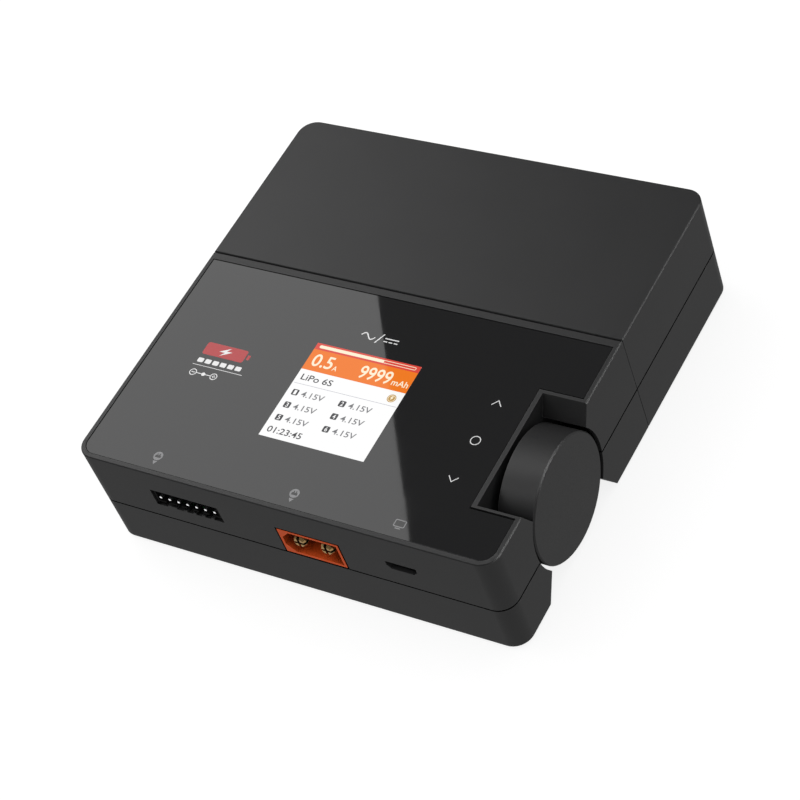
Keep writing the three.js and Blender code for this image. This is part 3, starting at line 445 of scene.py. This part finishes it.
def round_edges(piece, width_mm):
    """Rounds every sharp edge, then shades the piece smoothly with its flat faces kept flat."""
    if width_mm:
        bevel = piece.modifiers.new("edges", "BEVEL")
        bevel.width = width_mm * MM
        bevel.segments = ROUND_SEGMENTS
        bevel.limit_method = "ANGLE"
        bevel.angle_limit = math.radians(ROUND_DEGREES)
        bevel.miter_outer = "MITER_ARC"
        bevel.loop_slide = False
        apply_modifiers(piece)
    smooth_by_angle(piece.data)
    weighted = piece.modifiers.new("flat_faces", "WEIGHTED_NORMAL")
    weighted.keep_sharp = True
    weighted.weight = FLAT_FACE_WEIGHT
    apply_modifiers(piece)


def dress(piece, body, slot, material=None):
    piece.data.materials.clear()
    piece.data.materials.append(material or LOOKS[slot])
    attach(piece, body)
    return piece


SAME_POINT_MM = 0.001
SHORTEST_EDGE_MM = 0.09
SLIVER_MM = 0.01


def clean_copy(node):
    """The CAD node's own solid with its faces joined and the shortest edges closed up."""
    bm = bmesh.new()
    bm.from_mesh(frame["nodes"][node].data)
    for reach_mm in (SAME_POINT_MM, SHORTEST_EDGE_MM):
        bmesh.ops.remove_doubles(bm, verts=bm.verts, dist=reach_mm * MM)
    bmesh.ops.dissolve_degenerate(bm, edges=bm.edges, dist=SLIVER_MM * MM)
    mesh = bpy.data.meshes.new(node)
    bm.to_mesh(mesh)
    bm.free()
    return mesh


def refined(node, width_mm):
    """A piece in place of a CAD node: the same solid with its edges rounded."""
    piece = link_mesh(node + "_finished", clean_copy(node))
    round_edges(piece, width_mm)
    dress(piece, BODY_OF[node], SLOT_OF[node])
    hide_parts(node)
    return piece


def flat_shape(name, outline, height):
    """A thin printed or displayed shape lying at a height; outline in metres."""
    bm = bmesh.new()
    face = bm.faces.new([bm.verts.new((x, y, height)) for x, y in outline])
    face.normal_update()
    if face.normal.z < 0:
        face.normal_flip()
    bmesh.ops.triangulate(bm, faces=bm.faces[:])
    mesh = bpy.data.meshes.new(name)
    bm.to_mesh(mesh)
    bm.free()
    return link_mesh(name, mesh)


def arc(cx, cy, radius, start, end, steps):
    angles = [math.radians(start + (end - start) * i / steps) for i in range(steps + 1)]
    return [(cx + radius * math.cos(a), cy + radius * math.sin(a)) for a in angles]


def circle(cx, cy, radius, count):
    """Evenly spaced points; the last joins the first."""
    return arc(cx, cy, radius, 0, 360 - 360 / count, count - 1)


def rounded_rectangle(x0, x1, y0, y1, radius, steps=6):
    return (arc(x1 - radius, y0 + radius, radius, -90, 0, steps)
            + arc(x1 - radius, y1 - radius, radius, 0, 90, steps)
            + arc(x0 + radius, y1 - radius, radius, 90, 180, steps)
            + arc(x0 + radius, y0 + radius, radius, 180, 270, steps))


MITRE_LIMIT = 0.3  # lowest cosine a corner is mitred by, which keeps sharp corners short


def stroke(name, points, width, height, closed=False):
    """A printed line of even width through the points, with mitred corners."""
    count = len(points)
    sides = ([], [])
    for i, point in enumerate(points):
        here = Vector(point)
        before = Vector(points[i - 1]) if i or closed else here
        after = Vector(points[(i + 1) % count]) if i < count - 1 or closed else here
        first = (here - before).normalized() if here != before else (after - here).normalized()
        second = (after - here).normalized() if after != here else first
        normal = Vector((-(first + second).y, (first + second).x)).normalized()
        reach = width / 2 / max(MITRE_LIMIT, normal.dot(Vector((-first.y, first.x))))
        sides[0].append(here + normal * reach)
        sides[1].append(here - normal * reach)
    bm = bmesh.new()
    left, right = ([bm.verts.new((p.x, p.y, height)) for p in side] for side in sides)
    for i in range(count if closed else count - 1):
        j = (i + 1) % count
        bm.faces.new((right[i], right[j], left[j], left[i]))
    mesh = bpy.data.meshes.new(name)
    bm.to_mesh(mesh)
    bm.free()
    return link_mesh(name, mesh)


GLYPH_WEIGHT = 0.012
GLYPH_STEPS = 4


def readout(name, text, x0, x1, y0, y1, height):
    """A displayed number fitted between left, right, bottom and top edges."""
    curve = bpy.data.curves.new(name, "FONT")
    curve.body = text
    curve.offset = GLYPH_WEIGHT
    curve.resolution_u = GLYPH_STEPS
    source = bpy.data.objects.new(name + "_source", curve)
    bpy.context.scene.collection.objects.link(source)
    graph = bpy.context.evaluated_depsgraph_get()
    mesh = bpy.data.meshes.new_from_object(source.evaluated_get(graph))
    bpy.data.objects.remove(source)
    xs = [v.co.x for v in mesh.vertices]
    ys = [v.co.y for v in mesh.vertices]
    sx = (x1 - x0) / (max(xs) - min(xs))
    sy = (y1 - y0) / (max(ys) - min(ys))
    for vertex in mesh.vertices:
        vertex.co = (x0 + (vertex.co.x - min(xs)) * sx, y0 + (vertex.co.y - min(ys)) * sy, height)
    return link_mesh(name, mesh)


# ---- Case, disc and ports: the CAD solids with finished edges --------------------------------

EDGE_WIDTHS_MM = {
    "dc_upper_shell": 0.12, "dc_lower_shell": 0.12, "ac_upper_shell": 0.12, "ac_lower_shell": 0.12,
    "disc_cover": 0.22, "disc_hub": 0.15, "glass_panel": 0.12,
    "output_socket": 0.18, "input_block": 0.15, "ac_plug": 0.15,
    "balance_socket": 0.1, "ac_inlet": 0.2, "usb_shell": 0.08, "usb_tongue": 0.08,
    "dc_foot_front": 0.25, "dc_foot_rear": 0.25, "ac_foot_front": 0.25, "ac_foot_rear": 0.25,
    "fan_frame": 0.15, "fan_rotor": 0.1, "heat_sink": 0.15, "ac_heat_sink": 0.2,
    "main_board": 0.1, "ac_board": 0.1, "touch_key_board": 0.1, "screen_module": 0.2,
    "inductor_1": 0.5, "inductor_2": 0.5, "transformer_core": 0.3, "transformer_winding": 0.6,
    "mains_choke": 0.4, "mains_capacitor": 0.3, "dc_capacitor": 0.25,
    "disc_washer": 0.1, "disc_clip": 0.1, "screen_ribbon": 0.0,
}


SCREW_EDGE_MM, CONTACT_EDGE_MM = 0.1, 0.06
GLASS_GROWTH = 0.14 * MM  # on each side, which narrows the dark line round the glass


def build_cad_pieces():
    widths = dict(EDGE_WIDTHS_MM)
    for node in frame["nodes"]:
        if "screw" in node:
            widths[node] = SCREW_EDGE_MM
        elif "contact" in node or "pin_" in node:
            widths[node] = CONTACT_EDGE_MM
    pieces = {node: refined(node, width) for node, width in sorted(widths.items())}
    grow_sideways(pieces["glass_panel"], *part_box("glass_panel"), GLASS_GROWTH)


def grow_sideways(piece, low, high, growth):
    """Stretches a piece in X and Y about the box's middle: its outer sides move out by the growth."""
    middle, size = (low + high) / 2, high - low
    for vertex in piece.data.vertices:
        for axis in (0, 1):
            aside = vertex.co[axis] - middle[axis]
            vertex.co[axis] += 2 * growth * aside / size[axis]


# ---- Display --------------------------------------------------------------------------------

LAYER = 0.004 * MM  # step between the display's layers, which are all flush to the eye
SCREEN_SIZE = Vector((27.85, 27.75)) * MM
SHOWN = {
    "orange": lit_screen("shown_orange", (0.88, 0.2, 0.018)),
    "red": lit_screen("shown_red", (0.72, 0.07, 0.05)),
    "white": lit_screen("shown_white", (0.97, 0.97, 0.97)),
    "cream": lit_screen("shown_cream", (1.0, 0.88, 0.66)),
    "dark": lit_screen("shown_dark", (0.055, 0.055, 0.06)),
    "grey": lit_screen("shown_grey", (0.19, 0.19, 0.2)),
    "line": lit_screen("shown_line", (0.46, 0.46, 0.52)),
    "gold": lit_screen("shown_gold", (0.5, 0.29, 0.07)),
}


CORNER_MM = 0.02
NUMBER_LEVEL = 3


class Display:
    """Draws on the display in millimetres from the lower left corner of its lit area."""

    def __init__(self):
        low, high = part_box("screen_module")
        centre = (low + high) / 2
        self.left = centre.x - SCREEN_SIZE.x / 2
        self.bottom = centre.y - SCREEN_SIZE.y / 2
        self.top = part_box("glass_panel")[1].z

    def show(self, piece, colour):
        return dress(piece, "dc_charger", "display", SHOWN[colour])

    def place(self, x, y):
        return (self.left + x * MM, self.bottom + y * MM)

    def box(self, name, x0, x1, y0, y1, level, colour, radius=CORNER_MM):
        outline = [self.place(x, y) for x, y in rounded_rectangle(x0, x1, y0, y1, radius)]
        self.show(flat_shape("display_" + name, outline, self.top + level * LAYER), colour)

    def number(self, name, text, x0, x1, y0, y1, colour):
        (left, bottom), (right, top) = self.place(x0, y0), self.place(x1, y1)
        height = self.top + NUMBER_LEVEL * LAYER
        self.show(readout("display_" + name, text, left, right, bottom, top, height), colour)

    def line(self, name, points, width, level, colour, closed=False):
        path = [self.place(x, y) for x, y in points]
        piece = stroke("display_" + name, path, width * MM, self.top + level * LAYER, closed)
        self.show(piece, colour)


BAND_BOTTOM, STRIP_BOTTOM, BAND_OVERLAP = 19.85, 25.9, 0.1
DIVIDER = {"y": 15.75, "left": 0.4, "right": 0.3, "width": 0.13}
READINGS = (  # name, text, left, right, bottom and top edges in millimetres, colour
    ("current", "0.5", 1.4, 6.9, 21.2, 24.8, "cream"),
    ("current_unit", "A", 7.3, 8.5, 21.2, 22.55, "cream"),
    ("charge", "9999", 14.2, 22.6, 21.0, 24.7, "cream"),
    ("charge_unit", "mAh", 23.1, 27.35, 21.2, 22.9, "cream"),
    ("pack_type", "LiPo 6S", 1.3, 9.6, 16.9, 18.65, "dark"),
    ("elapsed", "01:23:45", 1.2, 10.3, 1.35, 3.05, "dark"),
)
CELLS, CELL_COLUMNS = 6, 2
FIRST_CELL, CELL_STEP = (2.2, 13.2), (12.65, -3.75)
BADGE_PLACE = (25.35, 17.75)
SIGN_CORNER, PROGRESS_LINE = 0.3, 0.16
BADGE_SIDES, DIGIT_SIDES, VOLTS_SIDES = (-0.85, 0.85), (-0.34, 0.34), (1.7, 7.75)
DIGIT_HALF_HEIGHT, VOLTS_HALF_HEIGHT = 0.6, 0.8


def build_display():
    display = Display()
    width, height = SCREEN_SIZE / MM
    display.box("background", 0, width, 0, height, 1, "white")
    display.box("band", 0, width, BAND_BOTTOM, STRIP_BOTTOM + BAND_OVERLAP, 2, "orange")
    display.box("strip", 0, width, STRIP_BOTTOM, height, 3, "red")
    draw_progress(display)
    for reading in READINGS:
        display.number(*reading)
    ends = [(DIVIDER["left"], DIVIDER["y"]), (width - DIVIDER["right"], DIVIDER["y"])]
    display.line("divider", ends, DIVIDER["width"], 2, "line")
    draw_balance_badge(display, *BADGE_PLACE)
    for cell in range(CELLS):
        row, column = divmod(cell, CELL_COLUMNS)
        x, y = FIRST_CELL[0] + CELL_STEP[0] * column, FIRST_CELL[1] + CELL_STEP[1] * row
        draw_cell(display, cell + 1, x, y)


def draw_progress(display):
    left, right, low, high, filled = 1.1, 26.75, 26.5, 27.2, 18.35
    outline = rounded_rectangle(left, right, low, high, SIGN_CORNER)
    display.line("progress_outline", outline, PROGRESS_LINE, 4, "cream", closed=True)
    display.box("progress_fill", left, filled, low, high, 4, "cream", SIGN_CORNER)


def draw_cell(display, number, x, y):
    """A numbered badge about the point, and the cell's voltage to the right of it."""
    cell = f"cell_{number}_"
    sides = [x + side for side in BADGE_SIDES] + [y + side for side in BADGE_SIDES]
    display.box(cell + "badge", *sides, 2, "dark", SIGN_CORNER)
    for part, text, (left, right), half_height, colour in (
            ("digit", str(number), DIGIT_SIDES, DIGIT_HALF_HEIGHT, "white"),
            ("volts", "4.15V", VOLTS_SIDES, VOLTS_HALF_HEIGHT, "grey")):
        display.number(cell + part, text, x + left, x + right, y - half_height, y + half_height, colour)


BADGE_DISCS = ((2, "edge", 1.12, "gold"), (3, "ring", 0.92, "cream"), (4, "disc", 0.78, "gold"))
NEARLY_ROUND = 0.99  # share of the half side that a square's corners are rounded by
BADGE_BOLT = ((-0.1, 0.62), (0.42, 0.62), (0.12, 0.13), (0.45, 0.13), (-0.25, -0.62),
              (-0.02, -0.08), (-0.42, -0.08))


def draw_balance_badge(display, x, y):
    for level, name, radius, colour in BADGE_DISCS:
        display.box(f"badge_{name}", x - radius, x + radius, y - radius, y + radius,
                    level, colour, NEARLY_ROUND * radius)
    outline = [display.place(x + px, y + py) for px, py in BADGE_BOLT]
    piece = flat_shape("display_badge_bolt", outline, display.top + 5 * LAYER)
    display.show(piece, "cream")


# ---- Printing on the glass ------------------------------------------------------------------

INK_DIM = printed_ink("ink_grey", (0.2, 0.2, 0.205))
INK_WHITE = printed_ink("ink_white", (0.8, 0.8, 0.8))
INK_RED = printed_ink("ink_red", (0.42, 0.012, 0.016))


def ink(piece, material):
    return dress(piece, "dc_charger", "panel_glass", material)


def ink_height():
    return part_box("glass_panel")[1].z + LAYER


def print_line(name, points, width_mm, closed=False, material=INK_WHITE):
    ink(stroke("print_" + name, points, width_mm * MM, ink_height(), closed), material)


def around(centre, points_mm):
    return [(centre[0] + x * MM, centre[1] + y * MM) for x, y in points_mm]


KEY_LINE, SUPPLY_LINE, POLARITY_LINE, RULE_LINE = 0.2, 0.28, 0.2, 0.14  # widths in millimetres


KEY_RADIUS, KEY_HALF_WIDTH = 1.14, 1.2
KEY_ARROWS = (("key_up", 10.0, 11.45), ("key_down", -10.2, -11.6))  # name, foot, tip


def print_touch_keys():
    """Up, select and down marks in a column beside the rotary holder."""
    low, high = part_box("touch_key_board")
    centre = (low + high) / 2
    spot = (centre.x, centre.y)
    print_line("key_select", around(spot, circle(0, 0, KEY_RADIUS, 36)), KEY_LINE, closed=True)
    for name, foot, tip in KEY_ARROWS:
        arrow = [(-KEY_HALF_WIDTH, foot), (0.0, tip), (KEY_HALF_WIDTH, foot)]
        print_line(name, around(spot, arrow), KEY_LINE)


BALLOON_RADIUS = 1.2
BALLOON_TAIL = ((-0.62, -1.42), (0.0, -2.4), (0.62, -1.42))
BALLOON_PLUG = ((-0.75, -0.45), (0.75, -0.45), (0.75, 0.2), (0.45, 0.2), (0.45, 0.65), (0.15, 0.65),
                (0.15, 0.2), (-0.15, 0.2), (-0.15, 0.65), (-0.45, 0.65), (-0.45, 0.2), (-0.75, 0.2))
USB_BEHIND_MM, USB_LINE, USB_FOOT_LINE = 3.3, 0.26, 0.28
BALLOONS_MM = (("balance_socket", -7.5, 3.75), ("output_socket", -3.35, 3.75))  # aside, behind


def port_spot(port, aside_mm, behind_mm):
    """A place on the glass, measured from the port's middle and from the glass's front edge."""
    low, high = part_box(port)
    return ((low.x + high.x) / 2 + aside_mm * MM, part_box("glass_panel")[0].y + behind_mm * MM)


def print_port_marks():
    """A speech balloon beside each battery port and a screen behind the USB port."""
    for port, aside_mm, behind_mm in BALLOONS_MM:
        spot = port_spot(port, aside_mm, behind_mm)
        print_shape(f"{port}_balloon", spot, circle(0, 0, BALLOON_RADIUS, 24), INK_DIM)
        print_shape(f"{port}_tail", spot, BALLOON_TAIL, INK_DIM)
        print_shape(f"{port}_plug", spot, BALLOON_PLUG, LOOKS["panel_glass"], 2)
    spot = port_spot("usb_shell", 0.0, USB_BEHIND_MM)
    screen = around(spot, rounded_rectangle(-1.3, 1.25, -0.7, 1.0, SIGN_CORNER))
    foot = around(spot, [(-0.65, -1.15), (0.65, -1.15)])
    print_line("usb_screen", screen, USB_LINE, True, INK_DIM)
    print_line("usb_screen_foot", foot, USB_FOOT_LINE, False, INK_DIM)


def print_shape(name, spot, points_mm, material=INK_WHITE, level=1):
    height = ink_height() + (level - 1) * LAYER
    ink(flat_shape("print_" + name, around(spot, points_mm), height), material)


EMBLEM_MM = (19.15, 35.1)  # from the glass's left and front edges
EMBLEM_BOLT = ((0.6, 1.35), (-2.1, -0.2), (-0.5, -0.2), (-1.5, -1.35), (1.4, 0.3), (-0.2, 0.3))
EMBLEM_CELLS = {"first": -6.1, "step": 2.12, "width": 1.6, "low": -4.25, "high": -3.0}


def print_emblem():
    """A red battery over six cells, a rule and a polarity mark, on the left of the glass."""
    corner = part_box("glass_panel")[0]
    spot = around(corner, [EMBLEM_MM])[0]
    print_shape("emblem_body", spot, rounded_rectangle(-6.2, 5.2, -1.8, 1.8, 0.6), INK_RED)
    print_shape("emblem_cap", spot, rounded_rectangle(5.6, 6.4, -0.7, 0.7, 0.2), INK_RED)
    print_shape("emblem_bolt", spot, EMBLEM_BOLT, INK_WHITE, 2)
    for i in range(CELLS):
        left = EMBLEM_CELLS["first"] + EMBLEM_CELLS["step"] * i
        right = left + EMBLEM_CELLS["width"]
        cell = rounded_rectangle(left, right, EMBLEM_CELLS["low"], EMBLEM_CELLS["high"], 0.25, 3)
        print_shape(f"emblem_cell_{i + 1}", spot, cell)
    print_line("emblem_rule", around(spot, [(-6.7, -5.1), (7.2, -5.1)]), RULE_LINE)
    print_polarity(around(spot, [(-2.3, -7.3)])[0])


RING_ASIDE, RING_RADIUS, SIGN_HALF = 2.9, 0.85, 0.45
LEAD_START, DOT_RADIUS = 2.0, 0.5


def print_polarity(spot):
    """Minus and plus rings joined to a dot."""
    for name, side in (("minus", -1), ("plus", 1)):
        x = RING_ASIDE * side
        ring = around(spot, circle(x, 0, RING_RADIUS, 24))
        print_line(f"{name}_ring", ring, POLARITY_LINE, True)
        print_line(f"{name}_bar", around(spot, [(x - SIGN_HALF, 0), (x + SIGN_HALF, 0)]), POLARITY_LINE)
        lead = [(LEAD_START * side, 0), (DOT_RADIUS * side, 0)]
        print_line(f"{name}_lead", around(spot, lead), POLARITY_LINE)
    stem = around(spot, [(RING_ASIDE, -SIGN_HALF), (RING_ASIDE, SIGN_HALF)])
    print_line("plus_stem", stem, POLARITY_LINE)
    print_shape("polarity_dot", spot, circle(0, 0, DOT_RADIUS, 18))


SUPPLY_BEHIND_MM = 2.0
WAVE = {"left": -4.9, "length": 3.7, "height": 0.8, "steps": 16}
DASHES = {"count": 3, "left": 1.3, "step": 1.36, "length": 0.98, "y": -0.5}


def print_supply_mark():
    """Behind the screen: the wave of an AC supply, a stroke, and the bars of a DC supply."""
    low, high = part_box("screen_module")
    spot = ((low.x + high.x) / 2, high.y + SUPPLY_BEHIND_MM * MM)
    wave = []
    for i in range(WAVE["steps"] + 1):
        turn = 2 * math.pi * i / WAVE["steps"]
        x = WAVE["left"] + WAVE["length"] * i / WAVE["steps"]
        wave.append((x, WAVE["height"] * math.sin(turn)))
    print_line("supply_wave", around(spot, wave), SUPPLY_LINE)
    print_line("supply_stroke", around(spot, [(-0.65, -1.45), (0.65, 1.45)]), SUPPLY_LINE)
    print_line("supply_bar", around(spot, [(1.3, 0.4), (5.0, 0.4)]), SUPPLY_LINE)
    for i in range(DASHES["count"]):
        left = DASHES["left"] + DASHES["step"] * i
        dash = [(left, DASHES["y"]), (left + DASHES["length"], DASHES["y"])]
        print_line(f"supply_dash_{i + 1}", around(spot, dash), SUPPLY_LINE)


# ---- Stage, light and camera ----------------------------------------------------------------

CAMERA = {  # metres and degrees
    "place": (0.27549, -0.27464, 0.41701),
    "azimuth": 45.79,
    "elevation": 46.58,
    "roll": 22.96,
    "lens_mm": 108.64,
    "sensor_mm": 36.0,
    "nearest": 0.01,
}


def build_camera():
    angles = ("azimuth", "elevation", "roll")
    azimuth, elevation, roll = (math.radians(CAMERA[angle]) for angle in angles)
    data = bpy.data.cameras.new("camera")
    data.lens = CAMERA["lens_mm"]
    data.sensor_width = CAMERA["sensor_mm"]
    data.clip_start = CAMERA["nearest"]
    camera = bpy.data.objects.new("camera", data)
    turn = Matrix.Rotation(azimuth, 4, "Z") @ Matrix.Rotation(math.pi / 2 - elevation, 4, "X")
    camera.matrix_world = (
        Matrix.Translation(CAMERA["place"]) @ turn @ Matrix.Rotation(-roll, 4, "Z"))
    bpy.context.scene.collection.objects.link(camera)
    bpy.context.scene.camera = camera


WHITE, BLACK = (1.0, 1.0, 1.0, 1.0), (0.0, 0.0, 0.0, 1.0)


def card_material(name, strength):
    material, nodes, links, shader = new_material(name)
    tone = noise(nodes, links, scale=3.0, detail=2.0)
    links.new(remap(nodes, links, tone, 0.0, 1.0, 0.98 * strength, 1.02 * strength),
              shader.inputs["Emission Strength"])
    shader.inputs["Emission Color"].default_value = WHITE
    shader.inputs["Base Color"].default_value = BLACK
    return material


FLOOR_PALE = (0.22, 0.22, 0.22)
FLOOR_LIFT = 0.84  # glow that only the camera sees
FLOOR_BOUNCE = 0.345  # glow that only the object receives
FLOOR_HALF = 4.0


def floor_material():
    """Near white to the camera with a soft shadow, mid grey to the object, clear from below."""
    material, nodes, links, shader = new_material("floor")
    seen = nodes.new("ShaderNodeLightPath").outputs["Is Camera Ray"]
    tone = noise(nodes, links, scale=6.0, detail=2.0)
    pale = blend_colour(nodes, links, tone, shade(FLOOR_PALE, 0.98), FLOOR_PALE)
    links.new(blend_colour(nodes, links, seen, (0.0, 0.0, 0.0), pale), shader.inputs["Base Color"])
    glow = remap(nodes, links, seen, 0.0, 1.0, FLOOR_BOUNCE, FLOOR_LIFT)
    links.new(glow, shader.inputs["Emission Strength"])
    shader.inputs["Emission Color"].default_value = WHITE
    shader.inputs["Roughness"].default_value = 0.9
    shader.inputs["Specular IOR Level"].default_value = 0.0
    see_through = nodes.new("ShaderNodeBsdfTransparent")
    either = nodes.new("ShaderNodeMixShader")
    links.new(nodes.new("ShaderNodeNewGeometry").outputs["Backfacing"], either.inputs["Fac"])
    links.new(shader.outputs["BSDF"], either.inputs[1])
    links.new(see_through.outputs["BSDF"], either.inputs[2])
    links.new(either.outputs["Shader"], nodes["Material Output"].inputs["Surface"])
    return material


def build_floor():
    half = FLOOR_HALF
    floor = flat_shape("floor", [(-half, -half), (half, -half), (half, half), (-half, half)], 0.0)
    floor.data.materials.append(floor_material())


def soft_card(name, corners, strength, gloss_only=False):
    """A glowing card that lights the object and shows in its gloss, but not to the camera."""
    mesh = bpy.data.meshes.new(name)
    mesh.from_pydata([Vector(c) for c in corners], [], [tuple(range(len(corners)))])
    card = link_mesh(name, mesh)
    card.data.materials.append(card_material(name, strength))
    card.visible_camera = False
    card.visible_shadow = False
    card.visible_diffuse = not gloss_only
    return card


def link_light(card, prefixes, state):
    """Limits a card's light to, or keeps it off, the pieces whose names start so."""
    pieces = bpy.data.collections.new(card.name + "_pieces")
    card.light_linking.receiver_collection = pieces
    for piece in [p for p in bpy.data.objects if p.name.startswith(prefixes)]:
        pieces.objects.link(piece)
    for entry in pieces.collection_objects:
        entry.light_linking.link_state = state


WORLD = {"horizon": 0.7, "zenith": 0.86, "in_gloss": 0.1}


def build_world():
    """Even white surroundings, dimmer in reflections so that dark gloss stays dark."""
    world = bpy.data.worlds.new("studio")
    bpy.context.scene.world = world
    world.use_nodes = True
    nodes, links = world.node_tree.nodes, world.node_tree.links
    path = nodes.new("ShaderNodeLightPath")
    direction = nodes.new("ShaderNodeSeparateXYZ")
    links.new(nodes.new("ShaderNodeTexCoord").outputs["Generated"], direction.inputs["Vector"])
    height = remap(nodes, links, direction.outputs["Z"], 0.0, 0.8, WORLD["horizon"], WORLD["zenith"])
    gloss = remap(nodes, links, path.outputs["Is Glossy Ray"], 0.0, 1.0, 1.0, WORLD["in_gloss"])
    unseen = math_node(nodes, links, "MULTIPLY", height, gloss)
    strength = math_node(nodes, links, "MAXIMUM", unseen, path.outputs["Is Camera Ray"])
    background = nodes["Background"]
    background.inputs["Color"].default_value = WHITE
    links.new(strength, background.inputs["Strength"])


def reflected(point, height):
    """Where the camera's view of a point on the glass, mirrored in it, reaches a height."""
    eye = Vector(CAMERA["place"])
    ray = Vector(point) - eye
    rise = height - point[2]
    return Vector((point[0] + ray.x * rise / -ray.z, point[1] + ray.y * rise / -ray.z, height))


CARD = {
    "height": 0.9,
    "past_front": 0.6,
    "past_rear": 0.9,
    "width": 1.3,
    "strength": 2.06,
    "rear_mm": 46.4,  # from the glass's left edge, where the card's reflection ends at the rear
    "front_mm": 19.3,  # from the glass's right edge, where it ends at the front
}
FLAT_TOPS = ("glass_panel", "display_", "print_", "ac_upper_shell")  # the edge card would whiten them
STRIP_CARDS = (  # name, bearing, rise, half width, half height, strength, link state, linked pieces
    ("edge_card", 20, 28, 0.42, 0.12, 9.5, "EXCLUDE", FLAT_TOPS),
    ("rear_card", 33, 29.5, 0.16, 0.1, 11.0, "INCLUDE", ("ac_upper_shell",)),
    ("disc_card", -132, 40, 0.22, 0.12, 2.6, "INCLUDE", ("disc_cover",)),
)


def build_lights():
    """One large card whose straight edge crosses the glass from the rear middle to the front right.

    Three strips pick out edges: the front case's, the rear case's and the disc's.
    """
    low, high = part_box("glass_panel")
    rear_edge = reflected((low.x + CARD["rear_mm"] * MM, high.y, high.z), CARD["height"])
    front_edge = reflected((high.x - CARD["front_mm"] * MM, low.y, high.z), CARD["height"])
    along = (rear_edge - front_edge).normalized()
    away = Vector((-along.y, along.x, 0.0)) * CARD["width"]
    start = front_edge - along * CARD["past_front"]
    end = rear_edge + along * CARD["past_rear"]
    soft_card("left_card", [start, end, end + away, start + away], CARD["strength"])
    for name, bearing, rise, half_width, half_height, strength, state, prefixes in STRIP_CARDS:
        card = strip_card(name, bearing, rise, half_width, half_height, strength)
        link_light(card, prefixes, state)


def strip_card(name, bearing_deg, rise_deg, half_width, half_height, strength):
    """An upright strip one metre away that shows only in the object's gloss."""
    bearing, rise = math.radians(bearing_deg), math.radians(rise_deg)
    level = Vector((math.cos(bearing), math.sin(bearing), 0.0))
    out = level * math.cos(rise) + Vector((0.0, 0.0, math.sin(rise)))
    across = Vector((-math.sin(bearing), math.cos(bearing), 0.0)) * half_width
    up = out.cross(across).normalized() * half_height
    corners = [out - across - up, out + across - up, out + across + up, out - across + up]
    return soft_card(name, corners, strength, gloss_only=True)


build_cad_pieces()
build_display()
print_touch_keys()
print_port_marks()
print_emblem()
print_supply_mark()
build_floor()
build_world()
build_lights()
build_camera()
bpy.context.scene.view_settings.view_transform = "Standard"
